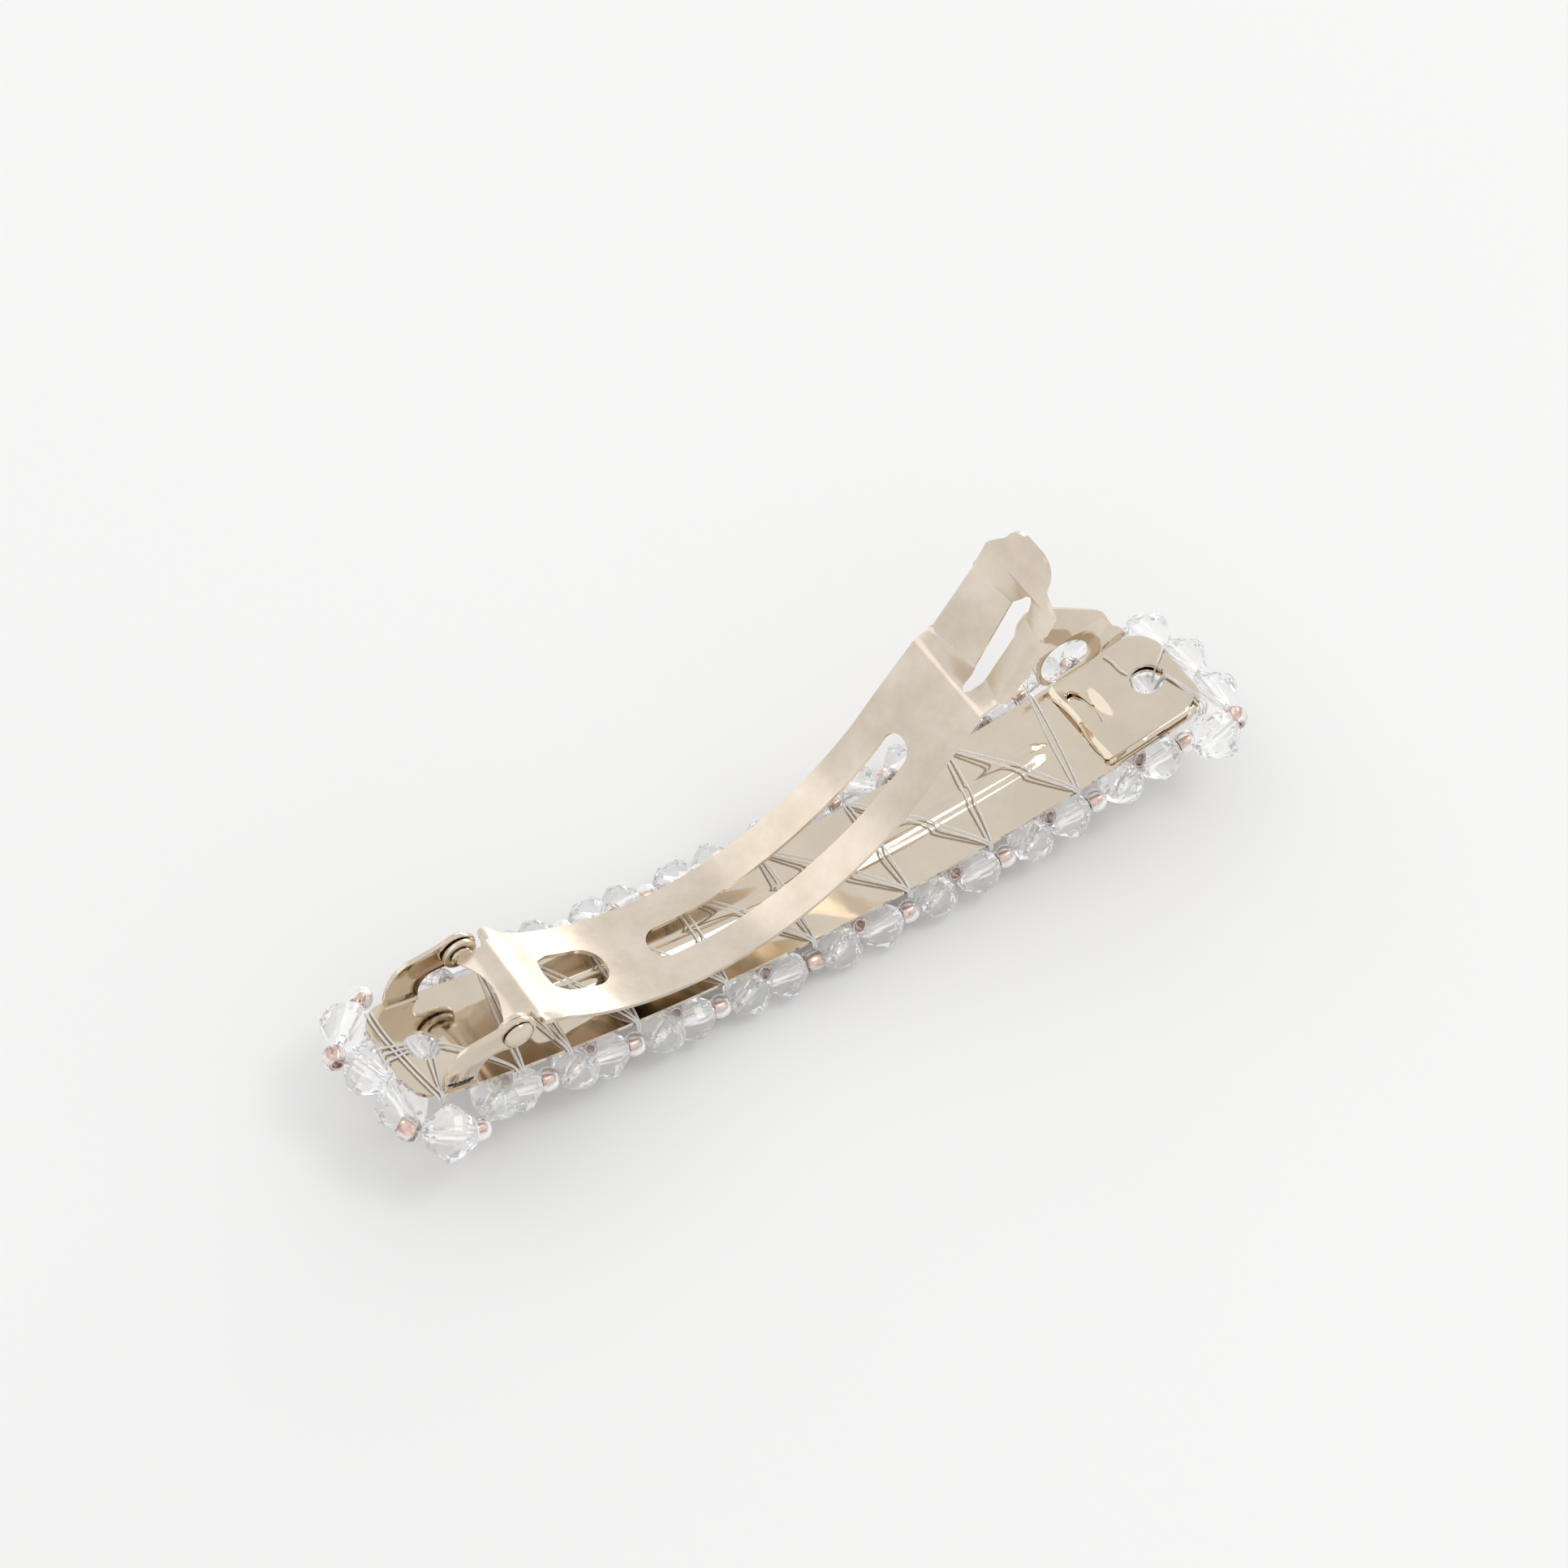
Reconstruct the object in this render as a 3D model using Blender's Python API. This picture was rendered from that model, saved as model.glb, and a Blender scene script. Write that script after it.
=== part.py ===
"""Beaded French hair clip: curved sheet-metal bar, sprung clasp arm, catch with two
pinch wings, and a netting of faceted crystals and seed beads laced on with nylon line.

Axes: +X runs from the hinge end to the catch end, +Y is the rear long side and +Z is the
mechanism side.  The beaded face looks down.  Lengths are given in millimetres and turned
into metres by MM.
"""
import math

import bmesh
import bpy
from mathutils import Matrix, Vector

MM = 0.001

# ---- bar -------------------------------------------------------------------------------
BAR_HALF_LENGTH = 40.0
BAR_HALF_WIDTH = 5.1
BAR_CORNER = 2.6
BAR_RISE = 5.5              # how far the ends sit above the middle
SHEET = 0.40
RIB_HALF_LENGTH = 26.6
RIB_HALF_WIDTH = 1.45
RIB_HEIGHT = 0.50
END_HOLE_X = 36.7
END_HOLE_RADIUS = 1.5

# ---- hinge -----------------------------------------------------------------------------
PIVOT_X = -30.7
PIVOT_Z = 8.0
EAR_INNER_Y = 4.55
EAR_HOLE_RADIUS = 0.85
STUD_RADIUS = 0.60
STUD_HEAD_RADIUS = 1.35
# outline of a goose-neck ear, (x, z)
EAR_OUTLINE = ((-37.6, 4.3), (-37.4, 6.6), (-36.8, 8.2), (-35.6, 9.1), (-34.1, 9.3),
               (-32.4, 9.5), (-31.2, 9.8), (-29.9, 9.55), (-29.0, 8.7), (-28.9, 7.5),
               (-29.6, 6.5), (-30.8, 6.2), (-32.2, 6.6), (-33.3, 6.6), (-34.0, 6.0),
               (-34.4, 5.0), (-34.2, 3.6))

# ---- clasp arm -------------------------------------------------------------------------
ARM_HALF_WIDTH = 4.75
ARM_SHOULDER = 5.3
LIP_HALF_WIDTH = 3.6
SHOULDER_X = -28.35         # the lip widens to the shoulders here
PARALLEL_X = -24.0          # and the arm runs parallel from here on
LUG_RADIUS = 1.5
LUG_INNER_Y = 4.03
LUG_OUTER_Y = 4.38
LUG_BORE = 0.75
# side profile of the arm's mid sheet, (x, z), hinge lip to thumb tab
ARM_PROFILE = ((-31.2, 7.4), (-29.9, 7.95), (-28.5, 7.95), (-27.2, 7.3), (-24.2, 5.3),
               (-20.5, 3.55), (-16.5, 2.4), (-12.0, 1.95), (-8.0, 2.25), (-4.0, 3.35),
               (0.0, 5.25), (4.0, 8.05), (7.5, 11.6), (10.3, 15.6), (13.5, 20.0))
LATCH_PROFILE = ((13.5, 20.0), (15.1, 20.6), (18.6, 26.2), (19.6, 28.3), (20.3, 32.6))
FLEX_X = 0.0
SPLIT_GAP = 0.06
SMALL_SLOT = (-24.9, -19.3, 1.8)       # first x, last x, half width
LONG_SLOT = (-15.0, 9.6, 1.55)
BOX_SLOT = (-1.9, 0.3)      # long edges of the slot along the latch
BOX_TROUGH = 1.2            # how far the latch sinks towards its middle
BOX_SINK = (0.848, -0.53)   # direction in which it sinks, (x, z)
BOX_FLANGE_DROP = 1.1
TAB_HALF_WIDTH = 2.8
TAB_SHOULDER = 2.2          # height over which the latch narrows to the tab
TAB_CORNER = 1.9

# ---- catch -----------------------------------------------------------------------------
CATCH_X0 = 29.4
CATCH_X1 = 39.5
CATCH_LIFT = 0.56
CATCH_HALF_WIDTH = 4.6
CATCH_CORNER = 2.2
CATCH_EYE = (29.9, 1.1, 0.75, 2.2)      # centre x, y, half length, half width of the end notch
FOLD_X = 33.6
FOLD_Y = 4.75
WING_FLARE = math.radians(27.0)
WING_HOLE = (31.9, 1.55, 2.5, 1.65)     # centre x, height, half length, half height
# outline of a catch wing, (x, height above the fold)
WING_OUTLINE = ((29.0, 0.10), (38.2, 0.10), (37.9, 1.3), (37.2, 1.9), (36.9, 3.7), (36.2, 4.4),
                (31.9, 7.5), (30.5, 7.9), (29.2, 7.4), (28.4, 6.2), (28.4, 4.6), (28.8, 3.0))
DIMPLE = (30.4, 5.9, 1.35)              # centre x, height, radius

# ---- beads -----------------------------------------------------------------------------
CRYSTAL = 4.0               # across and along a bicone
FACE_CRYSTAL = 3.7          # crystals of the face netting
FACE_REACH = 3.05           # their distance from the centre bead
END_CENTRE_CRYSTAL = 3.4
SEED_RADIUS = 0.98
SEED_LENGTH = 1.35
BEAD_DROP = 2.45            # bead centres below the bar's back face
BEAD_SHIFT = 0.8            # the netting sits a little towards the rear
REAR_LAG = 1.0              # rear stations lie this much nearer the catch
# stations of the outer seed beads, catch end to hinge end
STATIONS = (37.2, 27.7, 18.1, 8.0, -1.9, -11.3, -19.8, -28.2, -35.9)
EDGE_Y = 6.3
OUTER_SEED_Y = 6.4
INNER_SEED_Y = 5.5

# ---- nylon line ------------------------------------------------------------------------
LINE_RADIUS = 0.13
LINE_LIFT = 0.22            # line centre above the bar's back face
LINE_PAIR = 0.55            # spacing of the two strands of the lacing
LINE_CROSS = 0.32           # extra lift where one strand crosses the other


def bar_z(x):
    """Height of the bar's back face at x."""
    return BAR_RISE * (x / BAR_HALF_LENGTH) ** 2


def rib_height(x, y):
    """Raised stiffening rib along the middle of the bar."""
    if abs(y) >= RIB_HALF_WIDTH or abs(x) >= RIB_HALF_LENGTH:
        return 0.0
    end = min(1.0, (RIB_HALF_LENGTH - abs(x)) / 1.6)
    across = 0.5 + 0.5 * math.cos(math.pi * y / RIB_HALF_WIDTH)
    return RIB_HEIGHT * across * math.sin(end * math.pi / 2)


def smoothed(points, count):
    """Sample a Catmull-Rom curve through (x, z) points at even steps of length."""
    pts = [Vector(p) for p in points]
    pts = [2 * pts[0] - pts[1]] + pts + [2 * pts[-1] - pts[-2]]
    dense = []
    for i in range(1, len(pts) - 2):
        a, b, c, d = pts[i - 1:i + 3]
        for j in range(24):
            t = j / 24
            dense.append(0.5 * (2 * b + (c - a) * t + (2 * a - 5 * b + 4 * c - d) * t * t
                                + (3 * b - a - 3 * c + d) * t ** 3))
    dense.append(pts[-2])
    lengths = [0.0]
    for a, b in zip(dense, dense[1:]):
        lengths.append(lengths[-1] + (b - a).length)
    out = []
    k = 0
    for i in range(count):
        want = lengths[-1] * i / (count - 1)
        while k < len(dense) - 2 and lengths[k + 1] < want:
            k += 1
        span = lengths[k + 1] - lengths[k]
        out.append(dense[k].lerp(dense[k + 1], (want - lengths[k]) / span))
    return out


def normals(points):
    """Upward unit normals of a polyline in the XZ plane."""
    out = []
    for i in range(len(points)):
        a = points[max(i - 1, 0)]
        b = points[min(i + 1, len(points) - 1)]
        d = (b - a).normalized()
        out.append(Vector((-d[1], d[0])))
    return out


def new_object(name, verts, faces, material, coll):
    """Make a mesh object from vertices in millimetres."""
    mesh = bpy.data.meshes.new(name)
    mesh.from_pydata([Vector(v) * MM for v in verts], [], faces)
    mesh.update()
    bm = bmesh.new()
    bm.from_mesh(mesh)
    bmesh.ops.recalc_face_normals(bm, faces=bm.faces)
    bm.to_mesh(mesh)
    bm.free()
    obj = bpy.data.objects.new(name, mesh)
    coll.objects.link(obj)
    if material is not None:
        mesh.materials.append(material)
    return obj


def strip(name, centre, half_widths, thickness, material, coll, columns=1, bump=None,
          bump_along=None):
    """Closed sheet-metal strip that follows a side profile of (x, z) points.

    bump(x, y) presses the sheet out of its plane, along its normal or along bump_along.
    """
    up = normals(centre)
    verts = []
    for p, n, w in zip(centre, up, half_widths):
        for side in (0.5, -0.5):
            for j in range(columns + 1):
                y = w * (2 * j / columns - 1)
                push = (bump_along or n) * (bump(p[0], y) if bump else 0.0)
                lift = n * side * thickness + push
                verts.append((p[0] + lift[0], y, p[1] + lift[1]))
    row = columns + 1
    step = 2 * row
    faces = []
    for i in range(len(centre) - 1):
        a = i * step
        b = a + step
        for j in range(columns):
            faces.append((a + j, a + j + 1, b + j + 1, b + j))
            faces.append((a + row + j, b + row + j, b + row + j + 1, a + row + j + 1))
        faces.append((a, b, b + row, a + row))
        faces.append((a + columns, a + row + columns, b + row + columns, b + columns))
    last = (len(centre) - 1) * step
    for start in (0, last):
        for j in range(columns):
            faces.append((start + j, start + j + 1, start + row + j + 1, start + row + j))
    return new_object(name, verts, faces, material, coll)


def plate(name, outline, y0, y1, material, coll):
    """Flat plate in the XZ plane, extruded from y0 to y1."""
    n = len(outline)
    verts = [(x, y0, z) for x, z in outline] + [(x, y1, z) for x, z in outline]
    faces = [tuple(range(n)), tuple(range(2 * n - 1, n - 1, -1))]
    for i in range(n):
        j = (i + 1) % n
        faces.append((i, j, n + j, n + i))
    return new_object(name, verts, faces, material, coll)


def lathe(name, profile, place, sides, material, coll):
    """Solid of revolution about local Z from (radius, height) rings, closed at both ends."""
    verts = []
    for r, h in profile:
        for k in range(sides):
            a = 2 * math.pi * k / sides
            verts.append(place @ Vector((r * math.cos(a), r * math.sin(a), h)))
    faces = [tuple(range(sides)),
             tuple(range(len(verts) - 1, len(verts) - sides - 1, -1))]
    for i in range(len(profile) - 1):
        for k in range(sides):
            a = i * sides + k
            b = i * sides + (k + 1) % sides
            faces.append((a, b, b + sides, a + sides))
    return new_object(name, verts, faces, material, coll)


def tube(name, points, radius, material, coll, sides=6):
    """Round line through points, closed at both ends."""
    verts = []
    pts = [Vector(p) for p in points]
    side = None
    for i, p in enumerate(pts):
        a = pts[max(i - 1, 0)]
        b = pts[min(i + 1, len(pts) - 1)]
        d = (b - a).normalized()
        ref = side if side is not None else Vector((0.31, 0.12, 0.94))
        side = (ref - d * ref.dot(d)).normalized()
        other = d.cross(side)
        for k in range(sides):
            t = 2 * math.pi * k / sides
            verts.append(p + radius * (math.cos(t) * side + math.sin(t) * other))
    faces = [tuple(range(sides)),
             tuple(range(len(verts) - 1, len(verts) - sides - 1, -1))]
    for i in range(len(pts) - 1):
        for k in range(sides):
            a = i * sides + k
            b = i * sides + (k + 1) % sides
            faces.append((a, b, b + sides, a + sides))
    return new_object(name, verts, faces, material, coll)


def boolean(obj, cutter, operation):
    """Cut or join with the exact solver and bake the result."""
    mod = obj.modifiers.new(operation.lower(), 'BOOLEAN')
    mod.operation = operation
    mod.solver = 'EXACT'
    mod.object = cutter
    bpy.context.view_layer.update()
    graph = bpy.context.evaluated_depsgraph_get()
    mesh = bpy.data.meshes.new_from_object(obj.evaluated_get(graph))
    obj.modifiers.clear()
    old = obj.data
    obj.data = mesh
    bpy.data.meshes.remove(old)


def join(obj, pieces):
    """Weld overlapping pieces into one body."""
    for piece in pieces:
        boolean(obj, piece, 'UNION')
        bpy.data.objects.remove(piece, do_unlink=True)
    return obj


def cut(obj, cutters):
    """Cut holes and keep the cutters, hidden, in their own collection."""
    for cutter in cutters:
        boolean(obj, cutter, 'DIFFERENCE')
        cutter.hide_render = True
        cutter.display_type = 'WIRE'


def split_strip(points, x):
    """Index of the profile point nearest to x."""
    return min(range(len(points)), key=lambda i: abs(points[i][0] - x))


def slot_cutter(name, centre, x0, x1, half_width, coll, flat_start=False):
    """Rounded slot cutter that follows a side profile between two stations."""
    run = [p for p in centre if x0 <= p[0] <= x1]
    first, last = run[0][0], run[-1][0]
    widths = []
    for p in run:
        near = min(last - p[0], half_width)
        if not flat_start:
            near = min(near, p[0] - first)
        k = max(0.0, 1 - (1 - near / half_width) ** 2)
        widths.append(max(0.12, half_width * math.sqrt(k)))
    return strip(name, run, widths, 3.0, None, coll)


def material(name, colour, metallic, roughness, transmission=0.0):
    """Plain Principled material."""
    mat = bpy.data.materials.new(name)
    mat.use_nodes = True
    bsdf = mat.node_tree.nodes['Principled BSDF']
    bsdf.inputs['Base Color'].default_value = (*colour, 1.0)
    bsdf.inputs['Metallic'].default_value = metallic
    bsdf.inputs['Roughness'].default_value = roughness
    bsdf.inputs['Transmission Weight'].default_value = transmission
    mat.diffuse_color = (*colour, 1.0)
    return mat


def collection(name):
    coll = bpy.data.collections.new(name)
    bpy.context.scene.collection.children.link(coll)
    return coll


def set_origin(obj, point):
    """Move an object's origin to a point in millimetres."""
    offset = Vector(point) * MM
    obj.data.transform(Matrix.Translation(-offset))
    obj.location = offset


# ---- metal parts -----------------------------------------------------------------------
def rounded_widths(centre, half_length, half_width, corner):
    out = []
    for p in centre:
        d = half_length - abs(p[0])
        if d < corner:
            out.append(half_width - corner + math.sqrt(max(0.04, corner ** 2 - (corner - d) ** 2)))
        else:
            out.append(half_width)
    return out


def build_bar(coll, cutters, nickel):
    xs = []
    for i in range(71):
        t = math.sin((i / 70 - 0.5) * math.pi)
        xs.append(BAR_HALF_LENGTH * (0.55 * t + 0.45 * (2 * i / 70 - 1)))
    centre = [Vector((x, bar_z(x) - SHEET / 2)) for x in xs]
    widths = rounded_widths(centre, BAR_HALF_LENGTH, BAR_HALF_WIDTH, BAR_CORNER)
    bar = strip('base_bar', centre, widths, SHEET, nickel, coll, columns=14, bump=rib_height)
    for side in (-1, 1):
        y0, y1 = sorted((side * EAR_INNER_Y, side * (EAR_INNER_Y + SHEET)))
        ear = plate('ear', EAR_OUTLINE, y0, y1, nickel, coll)
        join(bar, [ear])
    holes = []
    for x in (-END_HOLE_X, END_HOLE_X):
        place = Matrix.Translation((x, 0, bar_z(x)))
        holes.append(lathe('end_hole_cutter', ((END_HOLE_RADIUS, -2), (END_HOLE_RADIUS, 2)),
                           place, 28, None, cutters))
    pivot = Matrix.Translation((PIVOT_X, 0, PIVOT_Z)) @ Matrix.Rotation(math.pi / 2, 4, 'X')
    holes.append(lathe('ear_hole_cutter', ((EAR_HOLE_RADIUS, -7), (EAR_HOLE_RADIUS, 7)),
                       pivot, 20, None, cutters))
    cut(bar, holes)
    return bar


def build_studs(coll, nickel):
    """Domed pivot rivets through the ears and the arm's side lugs."""
    for side, label in ((-1, 'front'), (1, 'rear')):
        turn = Matrix.Rotation(-side * math.pi / 2, 4, 'X')
        place = Matrix.Translation((PIVOT_X, 0, PIVOT_Z)) @ turn
        profile = [(0.85, 3.66), (0.95, 3.76), (0.95, 3.90), (STUD_RADIUS, 3.91),
                   (STUD_RADIUS, 5.05)]
        for k in range(5):
            a = k * math.pi / 10
            profile.append((STUD_HEAD_RADIUS * math.cos(a) + 0.02, 5.06 + 0.62 * math.sin(a)))
        profile.append((0.25, 5.70))
        stud = lathe('hinge_stud_' + label, profile, place, 20, nickel, coll)
        set_origin(stud, (PIVOT_X, side * 4.75, PIVOT_Z))


def trough(x, y):
    """How far the latch sinks at a point: a shallow V that fades out at both ends."""
    fold, first, last, tab = (p[0] for p in LATCH_PROFILE[:4])
    start = min(1.0, max(0.0, x - fold) / (first - fold))
    end = min(1.0, max(0.0, tab - x) / (tab - last))
    return BOX_TROUGH * start * end * max(0.0, 1 - abs(y) / ARM_HALF_WIDTH)


def tab_half_width(z):
    """Half width of the thumb tab at height z: sloped shoulders and rounded corners."""
    base, top = LATCH_PROFILE[3][1], LATCH_PROFILE[4][1]
    shoulder = max(0.0, 1 - (z - base) / TAB_SHOULDER)
    width = TAB_HALF_WIDTH + (ARM_HALF_WIDTH - TAB_HALF_WIDTH) * shoulder
    past = z - (top - TAB_CORNER)
    if past > 0:
        width += math.sqrt(max(0.01, TAB_CORNER ** 2 - past ** 2)) - TAB_CORNER
    return width


def build_arm(coll, cutters, satin):
    """Bowed clasp arm as two bodies that meet in the long-slot region."""
    full = smoothed(ARM_PROFILE, 121)
    cut_at = split_strip(full, FLEX_X)
    widths = []
    for p in full:
        if p[0] < SHOULDER_X:
            widths.append(LIP_HALF_WIDTH)
        elif p[0] < PARALLEL_X:
            t = (p[0] - SHOULDER_X) / (PARALLEL_X - SHOULDER_X)
            widths.append(ARM_SHOULDER + (ARM_HALF_WIDTH - ARM_SHOULDER) * min(1.0, 1.6 * t))
        else:
            widths.append(ARM_HALF_WIDTH)
    normal = normals(full)[cut_at]
    along = Vector((normal[1], -normal[0]))
    near = full[:cut_at] + [full[cut_at] - along * SPLIT_GAP / 2]
    far = [full[cut_at] + along * SPLIT_GAP / 2] + full[cut_at + 1:]
    root = strip('clasp_arm_root', near, widths[:cut_at + 1], SHEET, satin, coll)
    lugs = []
    for side in (-1, 1):
        y0, y1 = sorted((side * LUG_INNER_Y, side * LUG_OUTER_Y))
        outline = [(PIVOT_X + LUG_RADIUS * math.cos(a), PIVOT_Z + LUG_RADIUS * math.sin(a))
                   for a in (k * math.pi / 9 for k in range(18))]
        lugs.append(plate('lug', outline, y0, y1, satin, coll))
        y0, y1 = sorted((side * 3.4, side * 4.2))
        web = ((-29.75, 7.55), (-28.62, 7.72), (-28.62, 8.12), (-29.75, 8.2))
        lugs.append(plate('lug_web', web, y0, y1, satin, coll))
    join(root, lugs)
    pivot = Matrix.Translation((PIVOT_X, 0, PIVOT_Z)) @ Matrix.Rotation(math.pi / 2, 4, 'X')
    bores = []
    for y in (-4.2, 4.2):
        place = Matrix.Translation((0, y, 0)) @ pivot
        bores.append(lathe('lug_bore_cutter', ((LUG_BORE, -0.3), (LUG_BORE, 0.3)), place, 20,
                           None, cutters))
    small = slot_cutter('small_slot_cutter', full, *SMALL_SLOT, cutters, flat_start=True)
    long_slot = slot_cutter('long_slot_cutter', full, *LONG_SLOT, cutters)
    cut(root, bores + [small, long_slot])

    latch = [Vector(p) for p in LATCH_PROFILE]
    dense = []
    for a, b in zip(latch, latch[1:]):
        steps = max(1, round((b - a).length / 0.6))
        dense += [a.lerp(b, k / steps) for k in range(steps)]
    dense.append(latch[-1])
    latch_widths = []
    for p in dense:
        on_tab = p[1] > LATCH_PROFILE[3][1]
        latch_widths.append(tab_half_width(p[1]) if on_tab else ARM_HALF_WIDTH)
    tip = strip('clasp_arm_tip', far + dense[1:], widths[cut_at:] + latch_widths[1:], SHEET,
                satin, coll, columns=6, bump=trough, bump_along=Vector(BOX_SINK))
    first = Vector(LATCH_PROFILE[1])
    last = Vector(LATCH_PROFILE[2])
    d = (last - first).normalized()
    n = Vector((d[1], -d[0]))
    flanges = []
    for side in (-1, 1):
        y0, y1 = sorted((side * (ARM_HALF_WIDTH - SHEET), side * (ARM_HALF_WIDTH - 0.03)))
        outline = (first + d * 0.4, last - d * 0.2, last + n * BOX_FLANGE_DROP - d * 0.2,
                   first + n * 0.7 + d * 0.9)
        flanges.append(plate('flange', [tuple(p) for p in outline], y0, y1, satin, coll))
    join(tip, flanges)
    through = n * 2.4
    outline = (first - through, last + d * 1.0 - through, last + d * 1.0 + through,
               first + through)
    slot = plate('box_slot_cutter', [tuple(p) for p in outline], *BOX_SLOT, None, cutters)
    cut(tip, [slot, long_slot])
    axis = full[cut_at] - normal * SHEET / 2
    set_origin(root, (PIVOT_X, 0, PIVOT_Z))
    set_origin(tip, (axis[0], 0, axis[1]))


def build_catch(coll, cutters, nickel):
    xs = [CATCH_X0 + (CATCH_X1 - CATCH_X0) * i / 24 for i in range(25)]
    centre = []
    widths = []
    for x in xs:
        lift = CATCH_LIFT
        edge = min(x - CATCH_X0, 0.5) / 0.5
        lift -= 0.24 * (1 - edge) ** 2
        lift -= 0.24 * max(0.0, min(1.0, (x - 37.8) / 1.2))
        centre.append(Vector((x, bar_z(x) + lift)))
        d = CATCH_X1 - x
        w = CATCH_HALF_WIDTH
        if d < CATCH_CORNER:
            w += math.sqrt(max(0.04, CATCH_CORNER ** 2 - (CATCH_CORNER - d) ** 2)) - CATCH_CORNER
        widths.append(w)
    floor = strip('catch_plate', centre, widths, SHEET, nickel, coll, columns=2)
    place = Matrix.Translation((END_HOLE_X, 0, bar_z(END_HOLE_X)))
    hole = lathe('catch_hole_cutter', ((END_HOLE_RADIUS, -2), (END_HOLE_RADIUS, 3)), place, 28,
                 None, cutters)
    ex, ey, ea, eb = CATCH_EYE
    arch = Matrix.Translation((ex, ey, bar_z(ex))) @ Matrix.Diagonal((ea / eb, 1.0, 1.0, 1.0))
    eye = lathe('catch_eye_cutter', ((eb, -1), (eb, 2)), arch, 24, None, cutters)
    cut(floor, [hole, eye])
    slope = math.atan(2 * BAR_RISE * FOLD_X / BAR_HALF_LENGTH ** 2)
    base = Vector((FOLD_X, 0, bar_z(FOLD_X) + CATCH_LIFT))
    for side, label in ((-1, 'front'), (1, 'rear')):
        flat = plate('catch_wing_' + label, WING_OUTLINE, -SHEET / 2, SHEET / 2, nickel, coll)
        hx, hh, ha, hb = WING_HOLE
        oval = Matrix.Translation((hx, 0, hh)) @ Matrix.Rotation(math.pi / 2, 4, 'X')
        oval = oval @ Matrix.Diagonal((ha, hb, 1.0, 1.0))
        window = lathe('wing_hole_cutter', ((1.0, -1), (1.0, 1)), oval, 28, None, cutters)
        cut(flat, [window])
        dx, dh, dr = DIMPLE
        boss = Matrix.Translation((dx, 0, dh)) @ Matrix.Rotation(side * math.pi / 2, 4, 'X')
        profile = [(dr * math.cos(a), 0.12 + 0.5 * math.sin(a)) for a in
                   (k * math.pi / 12 for k in range(6))]
        dimple = lathe('dimple', [(dr, -0.1)] + profile, boss, 18, nickel, coll)
        join(flat, [dimple])
        place = Matrix.Translation(base + Vector((0, side * FOLD_Y, 0)))
        place = place @ Matrix.Rotation(-slope, 4, 'Y')
        place = place @ Matrix.Rotation(-side * WING_FLARE, 4, 'X')
        move = Matrix.Scale(MM, 4) @ place @ Matrix.Translation((-FOLD_X, 0, 0))
        flat.data.transform(move @ Matrix.Scale(1 / MM, 4))
        set_origin(flat, tuple(base + Vector((0, side * FOLD_Y, 0))))


# ---- beadwork --------------------------------------------------------------------------
def bead_place(point, direction):
    """Frame with local Z along a bead's hole."""
    turn = Vector(direction).to_track_quat('Z', 'X').to_matrix().to_4x4()
    return Matrix.Translation(Vector(point)) @ turn


def crystal(point, direction, coll, glass, size=CRYSTAL):
    """Faceted bicone."""
    h = size / 2 - 0.05
    profile = ((0.45, -h), (size / 2 - 0.05, -0.12), (size / 2 - 0.05, 0.12), (0.45, h))
    return lathe('crystal', profile, bead_place(point, direction), 10, glass, coll)


def seed(point, direction, coll, lined):
    """Rounded seed bead."""
    h = SEED_LENGTH / 2
    profile = ((0.62, -h), (0.88, -0.75 * h), (SEED_RADIUS, 0), (0.88, 0.75 * h), (0.62, h))
    return lathe('seed', profile, bead_place(point, direction), 12, lined, coll)


def bead_point(x, y, drop=BEAD_DROP):
    return Vector((x, y + BEAD_SHIFT, bar_z(x) - drop))


def group(name, pieces, coll):
    """Union of strung beads as one named body."""
    body = pieces[0]
    body.name = name
    body.data.name = name
    join(body, pieces[1:])
    return body


def build_edge_unit(index, side, coll, glass, lined):
    """Outer seed, crystal, inner seed, crystal along one long edge."""
    lag = REAR_LAG if side > 0 else 0.0
    x1 = STATIONS[index] + lag
    x0 = STATIONS[index + 1] + lag
    xc = (x0 + x1) / 2
    h = CRYSTAL / 2
    out = bead_point(x1, side * OUTER_SEED_Y)
    mid = bead_point(xc, side * (EDGE_Y - 0.1))
    end = bead_point(x0 + 0.80, side * (OUTER_SEED_Y - 0.05))
    d1 = (out - mid).normalized()
    d0 = (mid - end).normalized()
    c1 = out - d1 * (SEED_LENGTH / 2 + h - 0.06)
    c0 = end + d0 * h
    inner = bead_point(xc, side * INNER_SEED_Y, 1.60)
    link = [inner, (inner + mid) / 2, mid]
    pieces = [tube('line', [out + d1 * 0.3, out, mid, end + d0 * 0.4], 0.2, glass, coll),
              tube('link', link, 0.2, glass, coll)]
    pieces += [crystal(c1, d1, coll, glass), crystal(c0, d0, coll, glass),
               seed(out, d1, coll, lined), seed(inner, (0, 1, -0.6), coll, lined)]
    label = 'front' if side < 0 else 'rear'
    return group('bead_edge_%s_%d' % (label, index + 1), pieces, coll)


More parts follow.
